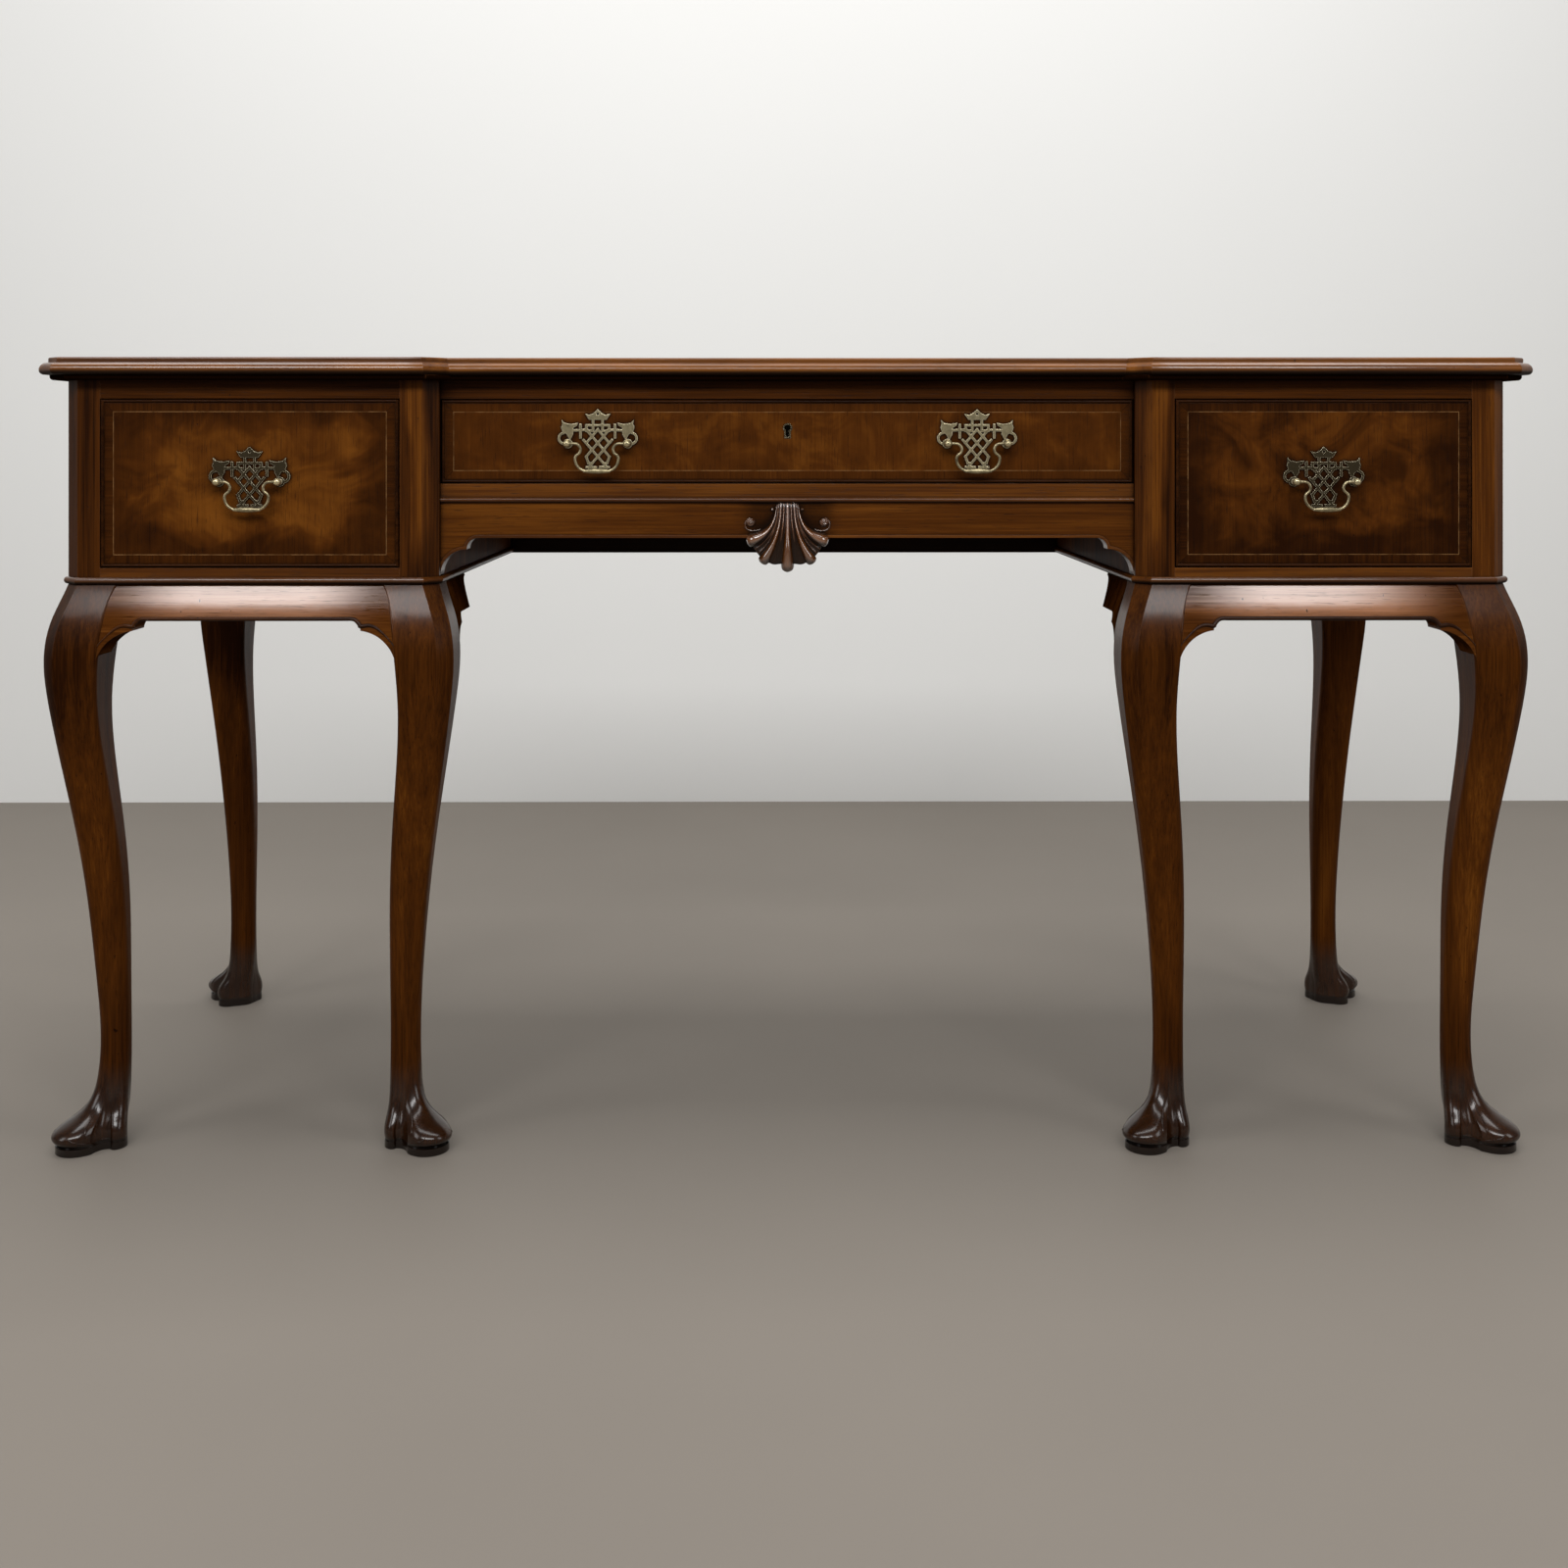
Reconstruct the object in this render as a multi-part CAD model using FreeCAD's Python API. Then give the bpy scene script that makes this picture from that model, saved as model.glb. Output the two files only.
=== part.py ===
"""Kneehole desk in walnut: two drawer pedestals and a recessed centre drawer on six cabriole legs.

Lengths are millimetres. +X is the sitter's right hand, +Y is the back and +Z is up.
The origin is on the floor under the middle of the desk.
"""
import FreeCAD, Part
import math
import os

from FreeCAD import Vector

# Overall sizes
desk_height = 775.0
leg_height = 554.0
case_width = 1410.0
case_depth = 512.0
pedestal_width = 363.0
centre_recess = 21.0
corner_cant = 14.0

# Top and its mouldings
top_thickness = 17.0
top_overhang = 22.0
top_corner_cant = 18.0
top_inner_corner_set = 9.0
edge_width = 24.0
edge_nose_round = 4.5
edge_ovolo = 7.5
edge_quirk = 0.5
edge_arris_round = 2.0
bed_height = 5.0
bed_projection = 16.0
bed_fillet = 1.5

# Case boards
side_thickness = 18.0
back_thickness = 12.0
post_width = 36.0
rail_depth = 36.0
bottom_thickness = 10.0
pedestal_bottom_rail = 16.0
top_rail_height = 23.0
waist_height = 7.0
waist_fillet = 0.5

# Centre section under the top
centre_drawer_height = 83.5
centre_rail_height = 13.5
centre_bead_height = 5.0
centre_bead_projection = 4.0
centre_bead_depth = 24.0
apron_thickness = 20.0
apron_big_arc = 26.0
apron_small_arc = 11.0
apron_bead_width = 3.0
apron_bead_projection = 1.5

# Carved shell on the apron
# Each rib bends from the gathered top to its tip; the points that shape it are shares of the shell's
# height, across and down, and the points of the edge between the tips are shares too.
shell_height = 67.0
shell_drop_from_bead = 1.0
shell_plate_thickness = 5.0
shell_rib_radius = 4.8
shell_rib_lift = 10.0
shell_rib_shares = (
    ((0.0, 0.0), (0.0, 0.33), (0.0, 0.67), (0.0, 1.0)),
    ((0.096, 0.0), (0.096, 0.36), (0.194, 0.63), (0.380, 0.873)),
    ((0.158, 0.03), (0.172, 0.30), (0.284, 0.49), (0.590, 0.560)),
)
shell_lift_shares = (0.40, 0.80, 1.00, 0.50)
shell_radius_shares = ((0.0, 0.40), (0.4, 0.50), (0.7, 0.75), (0.9, 1.0), (1.0, 0.62))
shell_edge_shares = ((0.46, 0.66), (0.41, 0.75), (0.31, 0.85), (0.17, 0.86), (0.085, 0.94))
shell_eye_radius = 4.3
shell_eye_crown_radius = 2.6
shell_eye_lift = 3.5
shell_eye_reach = 35.6
shell_eye_drop = 18.8

# Runners, kickers and stops
runner_width = 32.0
centre_runner_width = 18.0
centre_runner_height = 11.5
guide_height = 14.0
kicker_height = 12.0
stop_length = 30.0
stop_width = 11.0
stop_height = 4.0
stop_inset = 60.0

# Drawers
drawer_front_thickness = 22.0
drawer_gap = 1.0
drawer_run_clearance = 0.3
drawer_side_thickness = 10.0
drawer_back_thickness = 10.0
drawer_bottom_thickness = 6.0
drawer_bottom_lift = 6.0
drawer_groove = 4.0
drawer_groove_clearance = 0.1
drawer_back_room = 34.0
drawer_side_top_room = 2.0
drawer_back_drop = 8.0
drawer_stop_clearance = 0.3
cock_bead_width = 3.0
cock_bead_depth = 10.0
cock_bead_projection = 1.5
bead_cover = 1.0
dovetail_flare = 2.5
dovetail_base_share = 0.5
pedestal_drawer_tails = 4
centre_drawer_tails = 2

# Handles
plate_thickness = 1.5
plate_half_width = 39.0
plate_rise = 34.0
plate_bar = 2.3
plate_ring_radius = 5.3
plate_eye_radius = 1.2
# The plate's outline and bars, as shares of its half width and of its rise over the bolts.
# The lattice is counted in steps of half a diamond, across and up.
lattice_x_share = 0.146
lattice_z_share = 0.197
lattice_rise_share = 0.015
plate_lattice_steps = (
    ((-2, 2), (2, -2), (1.6, -2.95), (1, -3)),
    ((0, 2), (2, 0)),
    ((-2.45, 0.45), (1.6, -3.6)),
    ((0.4, -3.55), (1.9, -3.55)),
)
plate_bar_shares = (
    ((0.12, 0.72), (0.12, 0.37), (0.288, 0.37), (0.288, 0.53), (0.0, 0.53)),
    ((0.436, 0.54), (0.436, 0.176)),
    ((0.27, 0.40), (0.64, 0.38)),
)
plate_crest_shares = ((0.0, 1.0), (0.108, 0.88), (0.205, 0.83), (0.323, 0.868), (0.218, 0.69))
plate_leaf_shares = (
    (0.91, 0.69), (0.833, 0.597), (0.667, 0.565), (0.495, 0.606), (0.526, 0.515), (0.615, 0.456),
    (0.623, 0.265), (0.705, 0.10), (0.782, 0.265), (0.885, 0.324), (0.928, 0.47), (0.892, 0.573),
)
plate_ring_shares = (0.846, 0.153)
plate_eye_shares = (0.0, 0.86)
bolt_spacing = 59.0
bolt_boss_radius = 4.6
bolt_radius = 2.1
bolt_clearance = 0.1
bolt_collar_radius = 3.0
bolt_collar_height = 2.0
bolt_ball_radius = 3.75
bolt_tip_radius = 1.0
bolt_end_length = 7.0
nut_radius = 5.0
nut_height = 3.0
bail_stand_off = 10.0
bail_radius = 1.35
bail_clearance = 0.1
bail_pin_overlap = 1.2
bail_pin_length = 7.5
bail_neck_arc = 6.0
bail_swell = 5.25
bail_swell_height = 9.0
bail_corner_arc = 12.0
bail_grip_radius = 2.65
bail_grip_length = 26.0
pedestal_handle_rise = 1.5
centre_handle_reach = 187.0
centre_handle_drop = 2.2

# Lock of the centre drawer
lock_case_width = 44.0
lock_case_height = 44.0
lock_bolt_width = 18.0
lock_bolt_thickness = 4.0
lock_bolt_length = 20.0
lock_bolt_back_set = 2.5
lock_clearance = 0.1
lock_mortise_depth = 8.0
lock_mortise_clearance = 1.0
keyhole_rise = 13.25
keyhole_radius = 3.2
keyhole_slot_width = 3.6
keyhole_slot_length = 9.0
keyhole_thread_width = 1.2
keyhole_thread_depth = 2.4
keyhole_thread_proud = 0.4
keyhole_lock_depth = 5.0

# Cabriole legs: one row per section, as shares of the leg's height, knee outset and block width.
# The last three columns are the cut of the outer corner and of the other corners, as shares of the
# section's width, and how far the outer corner is rounded.
leg_block = 53.0
knee_outset = 17.2
leg_section_shares = (
    (0.9386, 0.68, 1.034, 0.250, 0.05, 0.0),
    (0.8718, 1.00, 1.057, 0.240, 0.08, 0.1),
    (0.7942, 0.82, 0.953, 0.250, 0.12, 0.3),
    (0.6859, 0.31, 0.849, 0.280, 0.20, 0.6),
    (0.5596, -0.33, 0.774, 0.320, 0.28, 0.8),
    (0.4332, -0.84, 0.689, 0.360, 0.34, 1.0),
    (0.2888, -1.22, 0.585, 0.420, 0.42, 1.0),
)
leg_top_corner_share = 0.04
ankle_outset_share = -1.28
ankle_width_share = 0.566
ankle_corner_share = 0.42

# Three-lobed foot: how far it has spread at shares of its height, and its half outline from the
# middle toe round to the heel, as shares of the toe's reach from the ankle.
foot_height = 67.0
toe_reach = 62.0
foot_pad_height = 7.0
foot_groove_height = 2.0
foot_spread_shares = ((0.738, 0.12), (0.520, 0.40), (0.420, 0.69), (0.300, 1.0))
foot_sole_spread_share = 0.94
foot_groove_spread_share = 0.88
foot_pad_spread_share = 0.97
foot_outline_shares = (
    (1.100, 0.387), (0.548, 0.339), (0.435, 0.274), (0.290, 0.260), (0.230, 0.345), (0.290, 0.490),
    (-0.020, 0.490), (-0.060, 0.310), (-0.075, 0.240), (-0.130, 0.190), (-0.140, 0.120), (-0.185, 0.060),
)
circle_pull_share = 0.5523

# Knee rails and ears between and behind the legs
knee_rail_height = 34.0
knee_rail_thickness = 22.0
knee_rail_set_back = 1.3
ear_small_arc = 10.0
ear_big_arc = 40.0
ear_cusp_reach = 35.5
ear_depth = 80.0
ear_block_length = 110.0
ear_tip = 3.0
leg_grip = 25.0

# One overrun serves every cut
overrun = 5.0

# Places worked out from the sizes above
half_width = case_width / 2
half_depth = case_depth / 2
front_y = -half_depth
back_y = half_depth
centre_y = front_y + centre_recess
inner_x = half_width - pedestal_width
pedestal_middle_x = (half_width + inner_x) / 2
post_back_y = front_y + post_width
opening_outer_x = half_width - post_width
opening_inner_x = inner_x + post_width
panel_outer_x = half_width - side_thickness
panel_inner_x = inner_x + side_thickness
back_inside_y = back_y - back_thickness
case_top_z = desk_height - top_thickness
opening_top_z = case_top_z - top_rail_height
pedestal_opening_z = leg_height + pedestal_bottom_rail
centre_opening_z = opening_top_z - centre_drawer_height
centre_bead_z = centre_opening_z - centre_rail_height - centre_bead_height
centre_rail_back_y = centre_y + rail_depth
apron_end_z = leg_height + waist_height
waist_round = waist_height / 2
waist_projection = waist_round + waist_fillet
drawer_back_y = back_inside_y - drawer_back_room
dovetail_length = drawer_front_thickness - cock_bead_depth - bead_cover
lock_case_depth = drawer_front_thickness - cock_bead_depth - bead_cover
centre_middle_z = (centre_opening_z + opening_top_z) / 2
keyhole_z = centre_middle_z + keyhole_rise


def save(name, *solids):
    """Write one node; several solids go in as one group."""
    shape = solids[0] if len(solids) == 1 else Part.makeCompound(list(solids))
    shape.exportStep(os.path.join("parts", name + ".step"))


def mirrored(shape):
    """The same piece on the other side of the desk."""
    return shape.mirror(Vector(0, 0, 0), Vector(1, 0, 0))


def both(shape):
    """A piece and its mirror image."""
    return [shape, mirrored(shape)]


def block(x_from, x_to, y_from, y_to, z_from, z_to):
    return Part.makeBox(x_to - x_from, y_to - y_from, z_to - z_from, Vector(x_from, y_from, z_from))


def prism(points, along):
    """Closed polygon of points, pushed along a vector."""
    return Part.Face(Part.makePolygon(list(points) + [points[0]])).extrude(along)


def path_edges(steps, place):
    """Edges of a drawn line. A step is an end point, or an arc's centre and its end point."""
    edges = []
    last = steps[0][-1]
    for step in steps[1:]:
        end = step[-1]
        if len(step) == 1:
            edges.append(Part.makeLine(place(*last), place(*end)))
        else:
            centre = step[0]
            middle_x = last[0] + end[0] - 2 * centre[0]
            middle_y = last[1] + end[1] - 2 * centre[1]
            reach = math.dist(last, centre) / math.hypot(middle_x, middle_y)
            through = (centre[0] + middle_x * reach, centre[1] + middle_y * reach)
            edges.append(Part.Arc(place(*last), place(*through), place(*end)).toShape())
        last = end
    return edges


def profile_face(steps, place):
    """Face inside a drawn line, closed back to its first point."""
    return Part.Face(Part.Wire(path_edges(steps + steps[:1], place)))


def directions(path, closed):
    """Unit direction of each stretch of a plan path."""
    ends = path[1:] + path[:1] if closed else path[1:]
    units = []
    for (x_from, y_from), (x_to, y_to) in zip(path, ends):
        length = math.hypot(x_to - x_from, y_to - y_from)
        units.append(((x_to - x_from) / length, (y_to - y_from) / length))
    return units


def set_in(path, distance, closed):
    """Plan path moved to its left by a distance, with mitred corners."""
    units = directions(path, closed)
    moved = []
    for index, (x, y) in enumerate(path):
        before = units[index - 1] if closed or index > 0 else units[0]
        after = units[index] if index < len(units) else units[-1]
        share = distance / (1 + before[0] * after[0] + before[1] * after[1])
        moved.append((x - (before[1] + after[1]) * share, y + (before[0] + after[0]) * share))
    return moved


def mitred_lengths(path, depth, steps, base_z, closed):
    """Moulding along a plan path, one mitred length per stretch. Steps run inward and up from base_z."""
    inner = set_in(path, depth, closed)
    height = max(step[-1][1] for step in steps)
    reach = 2 * depth
    lengths = []
    for index, (unit_x, unit_y) in enumerate(directions(path, closed)):
        following = (index + 1) % len(path)
        corners = [path[index], path[following], inner[following], inner[index]]
        blank = prism([Vector(x, y, base_z) for x, y in corners], Vector(0, 0, height))
        along = Vector(unit_x, unit_y, 0)
        inward = Vector(-unit_y, unit_x, 0)
        start = Vector(path[index][0], path[index][1], base_z) - along * reach
        section = profile_face(steps, lambda u, h: start + inward * u + Vector(0, 0, h))
        run = math.dist(path[index], path[following]) + 2 * reach
        lengths.append(blank.common(section.extrude(along * run)).Solids[0])
    return lengths


def round_trip(right_half):
    """Closed plan path from the points of its right half, front to back."""
    return right_half + [(-x, y) for x, y in reversed(right_half)]


def make_top():
    top_x = half_width + top_overhang
    top_front = front_y - top_overhang
    corner_x = inner_x + top_inner_corner_set
    outline = round_trip([
        (corner_x - centre_recess, top_front + centre_recess),
        (corner_x, top_front),
        (top_x - top_corner_cant, top_front),
        (top_x, top_front + top_corner_cant),
        (top_x, back_y + top_overhang),
    ])
    field = set_in(outline, edge_width, True)
    save("top_panel", prism([Vector(x, y, case_top_z) for x, y in field], Vector(0, 0, top_thickness)))

    quirk_z = edge_nose_round + edge_ovolo
    arris_u = edge_ovolo + edge_quirk
    arris_z = top_thickness - edge_arris_round
    edge_steps = [
        ((edge_width, 0),),
        ((edge_nose_round, 0),),
        ((edge_nose_round, edge_nose_round), (0, edge_nose_round)),
        ((edge_ovolo, edge_nose_round), (edge_ovolo, quirk_z)),
        ((arris_u, quirk_z),),
        ((arris_u, arris_z),),
        ((arris_u + edge_arris_round, arris_z), (arris_u + edge_arris_round, top_thickness)),
        ((edge_width, top_thickness),),
    ]
    save("top_edge_moulding", *mitred_lengths(outline, edge_width, edge_steps, case_top_z, True))

    plan = round_trip([
        (inner_x + corner_cant - centre_recess, centre_y),
        (inner_x + corner_cant, front_y),
        (half_width - corner_cant, front_y),
        (half_width, front_y + corner_cant),
        (half_width, back_y),
    ])
    bed_round = bed_height - bed_fillet
    bed_steps = [
        ((bed_projection, 0),),
        ((bed_round, 0),),
        ((bed_round, bed_round), (0, bed_round)),
        ((0, bed_height),),
        ((bed_projection, bed_height),),
    ]
    bed_path = set_in(plan, -bed_projection, True)
    save("bed_moulding", *mitred_lengths(bed_path, bed_projection, bed_steps, case_top_z - bed_height, True))


def make_case():
    case_height = case_top_z - leg_height
    outer_post = prism([
        Vector(opening_outer_x, front_y, leg_height),
        Vector(half_width - corner_cant, front_y, leg_height),
        Vector(half_width, front_y + corner_cant, leg_height),
        Vector(half_width, post_back_y, leg_height),
        Vector(opening_outer_x, post_back_y, leg_height),
    ], Vector(0, 0, case_height))
    inner_post = outer_post.mirror(Vector(pedestal_middle_x, 0, 0), Vector(1, 0, 0))
    save("front_posts", *both(outer_post), *both(inner_post))

    outer_side = block(panel_outer_x, half_width, post_back_y, back_y, leg_height, case_top_z)
    inner_side = block(inner_x, panel_inner_x, post_back_y, back_inside_y, leg_height, case_top_z)
    save("right_outer_side", outer_side)
    save("left_outer_side", mirrored(outer_side))
    save("right_inner_side", inner_side)
    save("left_inner_side", mirrored(inner_side))
    save("back_panel", block(-panel_outer_x, panel_outer_x, back_inside_y, back_y, leg_height, case_top_z))

    bottom_rail = block(opening_inner_x, opening_outer_x, front_y, post_back_y, leg_height, pedestal_opening_z)
    top_rail = block(opening_inner_x, opening_outer_x, front_y, post_back_y, opening_top_z, case_top_z)
    bottom_z = leg_height + bottom_thickness
    bottom = block(panel_inner_x, panel_outer_x, post_back_y, back_inside_y, leg_height, bottom_z)
    save("pedestal_bottom_rails", *both(bottom_rail))
    save("pedestal_top_rails", *both(top_rail))
    save("pedestal_bottoms", *both(bottom))

    waist_path = [
        (inner_x, back_inside_y),
        (inner_x, front_y + corner_cant),
        (inner_x + corner_cant, front_y),
        (half_width - corner_cant, front_y),
        (half_width, front_y + corner_cant),
        (half_width, back_y),
    ]
    waist_steps = [
        ((waist_projection, 0),),
        ((waist_round, 0),),
        ((waist_round, waist_round), (0, waist_round)),
        ((waist_round, waist_round), (waist_round, waist_height)),
        ((waist_projection, waist_height),),
    ]
    nose_path = set_in(waist_path, -waist_projection, False)
    waist = mitred_lengths(nose_path, waist_projection, waist_steps, leg_height, False)
    save("waist_moulding", *waist, *[mirrored(length) for length in waist])


def make_runners():
    bottom_z = leg_height + bottom_thickness
    guide_z = pedestal_opening_z + guide_height
    outer_edge = panel_outer_x - runner_width
    run = Vector(0, back_inside_y - post_back_y, 0)
    outer_runner = prism([
        Vector(panel_outer_x, post_back_y, bottom_z),
        Vector(outer_edge, post_back_y, bottom_z),
        Vector(outer_edge, post_back_y, pedestal_opening_z),
        Vector(opening_outer_x, post_back_y, pedestal_opening_z),
        Vector(opening_outer_x, post_back_y, guide_z),
        Vector(panel_outer_x, post_back_y, guide_z),
    ], run)
    kicker_top = opening_top_z + kicker_height
    outer_kicker = block(outer_edge, panel_outer_x, post_back_y, back_inside_y, opening_top_z, kicker_top)
    middle = Vector(pedestal_middle_x, 0, 0)
    runners = []
    for piece in (outer_runner, outer_kicker):
        runners += both(piece)
        runners += both(piece.mirror(middle, Vector(1, 0, 0)))

    inner_edge = inner_x - centre_runner_width
    for low, high in ((centre_opening_z - centre_runner_height, centre_opening_z), (opening_top_z, kicker_top)):
        runners += both(block(inner_edge, inner_x, centre_rail_back_y, back_inside_y, low, high))
    save("drawer_runners", *runners)

    stops = []
    for face, floor, edges in (
        (front_y, pedestal_opening_z, (opening_inner_x + stop_inset, opening_outer_x - stop_inset - stop_length)),
        (centre_y, centre_opening_z, (inner_x - stop_inset - stop_length,)),
    ):
        stop_y = face + drawer_front_thickness + drawer_stop_clearance
        for edge in edges:
            stops += both(block(edge, edge + stop_length, stop_y, stop_y + stop_width, floor, floor + stop_height))
    save("drawer_stops", *stops)


def arch(half_span, big_arc, small_arc, spring_z, grow, y_from, y_to):
    """Space under a shaped rail: a big arc at each side, a cusp, a small arc, then a flat."""
    step_x = half_span - big_arc
    flat_x = step_x - small_arc
    step_z = spring_z + big_arc
    below = spring_z - big_arc
    depth = y_to - y_from
    back = Vector(0, 1, 0)
    pieces = [
        block(-half_span - grow, half_span + grow, y_from, y_to, below, spring_z),
        block(-step_x, step_x, y_from, y_to, below, step_z + grow),
        block(-flat_x, flat_x, y_from, y_to, below, step_z + small_arc + grow),
    ]
    for side in (-1, 1):
        pieces.append(Part.makeCylinder(big_arc + grow, depth, Vector(side * step_x, y_from, spring_z), back))
        pieces.append(Part.makeCylinder(small_arc + grow, depth, Vector(side * flat_x, y_from, step_z), back))
    return pieces[0].multiFuse(pieces[1:])


def make_centre(shell):
    top_rail = block(-inner_x, inner_x, centre_y, centre_rail_back_y, opening_top_z, case_top_z)
    mortise_x = lock_bolt_width / 2 + lock_mortise_clearance
    bolt_back = centre_y + drawer_front_thickness - lock_bolt_back_set
    mortise = block(
        -mortise_x, mortise_x,
        bolt_back - lock_bolt_thickness - lock_mortise_clearance, bolt_back + lock_mortise_clearance,
        opening_top_z - overrun, opening_top_z + lock_mortise_depth,
    )
    save("centre_top_rail", top_rail.cut(mortise))
    rail_z = centre_opening_z - centre_rail_height
    save("centre_drawer_rail", block(-inner_x, inner_x, centre_y, centre_rail_back_y, rail_z, centre_opening_z))

    bead_round = centre_bead_height / 2
    nose_y = centre_y - centre_bead_projection + bead_round
    bead_back = nose_y - bead_round + centre_bead_depth
    bead_middle = centre_bead_z + bead_round
    bead_section = profile_face([
        ((bead_back, centre_bead_z),),
        ((nose_y, centre_bead_z),),
        ((nose_y, bead_middle), (nose_y - bead_round, bead_middle)),
        ((nose_y, bead_middle), (nose_y, rail_z)),
        ((bead_back, rail_z),),
    ], lambda y, z: Vector(-inner_x, y, z))
    save("centre_rail_bead", bead_section.extrude(Vector(2 * inner_x, 0, 0)))

    apron_back = centre_y + apron_thickness
    bead_front = centre_y - apron_bead_projection
    board = block(-inner_x, inner_x, centre_y, apron_back, apron_end_z, centre_bead_z)
    strip = block(-inner_x, inner_x, bead_front, apron_back, apron_end_z, centre_bead_z)
    shape = (inner_x, apron_big_arc, apron_small_arc, apron_end_z)
    reach = (bead_front - overrun, apron_back + overrun)
    space = arch(*shape, 0, *reach)
    wide_space = arch(*shape, apron_bead_width, *reach)
    save("apron", board.cut(wide_space))
    save("apron_bead", strip.common(wide_space).cut(space).cut(shell).Solids[0])


def shell_curve(points, top_z):
    """Line of one rib of the shell, from the gathered top to the tip."""
    curve = Part.BezierCurve()
    curve.setPoles([
        Vector(x * shell_height, centre_y - lift * shell_rib_lift, top_z - down * shell_height)
        for (x, down), lift in zip(points, shell_lift_shares)
    ])
    return curve


def make_shell():
    """Scallop shell of tapering ribs gathered at the top, with a small scroll eye at each side."""
    top_z = centre_bead_z - shell_drop_from_bead
    ribs = []
    for points in shell_rib_shares:
        curve = shell_curve(points, top_z)
        circles = []
        for share, radius_share in shell_radius_shares:
            place = curve.value(share)
            circle = Part.makeCircle(radius_share * shell_rib_radius, place, curve.tangent(share)[0])
            circles.append(Part.Wire(circle))
        rib = Part.makeLoft(circles, True, False)
        ribs.append(rib)
        if points[-1][0] > 0:
            ribs.append(mirrored(rib))

    edge = [Vector(x * shell_height, centre_y, top_z - down * shell_height) for x, down in shell_edge_shares]
    side_curve = Part.BezierCurve()
    side_curve.setPoles([
        Vector(x * shell_height, centre_y, top_z - down * shell_height) for x, down in shell_rib_shares[-1]
    ])
    side = [side_curve.toShape(), Part.makeLine(side_curve.EndPoint, edge[0])]
    side += Part.makePolygon(edge).Edges
    other_side = [mirrored(line) for line in side]
    top_line = Part.makeLine(side[0].Vertexes[0].Point, other_side[0].Vertexes[0].Point)
    low_line = Part.makeLine(edge[-1], Vector(-edge[-1].x, edge[-1].y, edge[-1].z))
    outline = Part.Wire(Part.__sortEdges__(side + other_side + [top_line, low_line]))
    plate = Part.Face(outline).extrude(Vector(0, -shell_plate_thickness, 0))
    behind = block(
        -inner_x, inner_x, centre_y, centre_y + shell_height,
        centre_bead_z - 2 * shell_height, centre_bead_z + overrun,
    )
    fan = plate.multiFuse(ribs).cut(behind)

    eye_place = Vector(shell_eye_reach, centre_y, top_z - shell_eye_drop)
    eye = Part.makeCone(shell_eye_radius, shell_eye_crown_radius, shell_eye_lift, eye_place, Vector(0, -1, 0))
    save("shell_carving", fan.Solids[0], *both(eye))
    return fan


def diagonal(u, v):
    """Outward faces u and v of a leg, turned to the leg's diagonal and across it."""
    return ((u + v) / math.sqrt(2), (u - v) / math.sqrt(2))


def block_half_outline(width, outer_cut, other_cut, outer_round):
    """Half outline of a leg section, from the outer corner round to the inner one."""
    h = width / 2
    a = outer_cut * width
    b = other_cut * width
    straight = (h - a / 3, h - 2 * a / 3)
    rounded = (h, h - a + a * circle_pull_share)
    outer_pull = (
        straight[0] + (rounded[0] - straight[0]) * outer_round,
        straight[1] + (rounded[1] - straight[1]) * outer_round,
    )
    face = a + b - width
    pull = b * circle_pull_share
    points = [
        outer_pull, (h, h - a), (h, h - a + face / 3), (h, h - a + 2 * face / 3),
        (h, b - h), (h, b - h - pull), (h - b + pull, -h), (h - b, -h),
        (h - b - (width - 2 * b) / 3, -h), (b - h + (width - 2 * b) / 3, -h), (b - h, -h), (b - h - pull, -h),
    ]
    return [diagonal(u, v) for u, v in points]


def leg_outline(half_outline, middle, z):
    """Closed wire of a leg section, in the place of the right front outer leg."""
    def place(d, e):
        u = (d + e) / math.sqrt(2)
        v = (d - e) / math.sqrt(2)
        return Vector(half_width + middle + u, front_y - middle - v, z)

    near = [place(d, e) for d, e in half_outline]
    far = [place(d, -e) for d, e in half_outline]
    runs = [
        [far[1], far[0], near[0], near[1]],
        near[1:5],
        near[4:8],
        near[7:11],
        [near[10], near[11], far[11], far[10]],
        far[10:6:-1],
        far[7:3:-1],
        far[4:0:-1],
    ]
    edges = []
    for poles in runs:
        curve = Part.BezierCurve()
        curve.setPoles(poles)
        edges.append(curve.toShape())
    return Part.Wire(edges)


def foot_wire(spread, z):
    """Foot section: the ankle's outline spread a share of the way to the lobed outline."""
    width = ankle_width_share * leg_block
    ankle = block_half_outline(width, ankle_corner_share, ankle_corner_share, 1)
    middle = ankle_outset_share * knee_outset - width / 2
    blended = []
    for (d, e), (foot_d, foot_e) in zip(ankle, foot_outline_shares):
        blended.append((d + (foot_d * toe_reach - d) * spread, e + (foot_e * toe_reach - e) * spread))
    return leg_outline(blended, middle, z)


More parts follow.
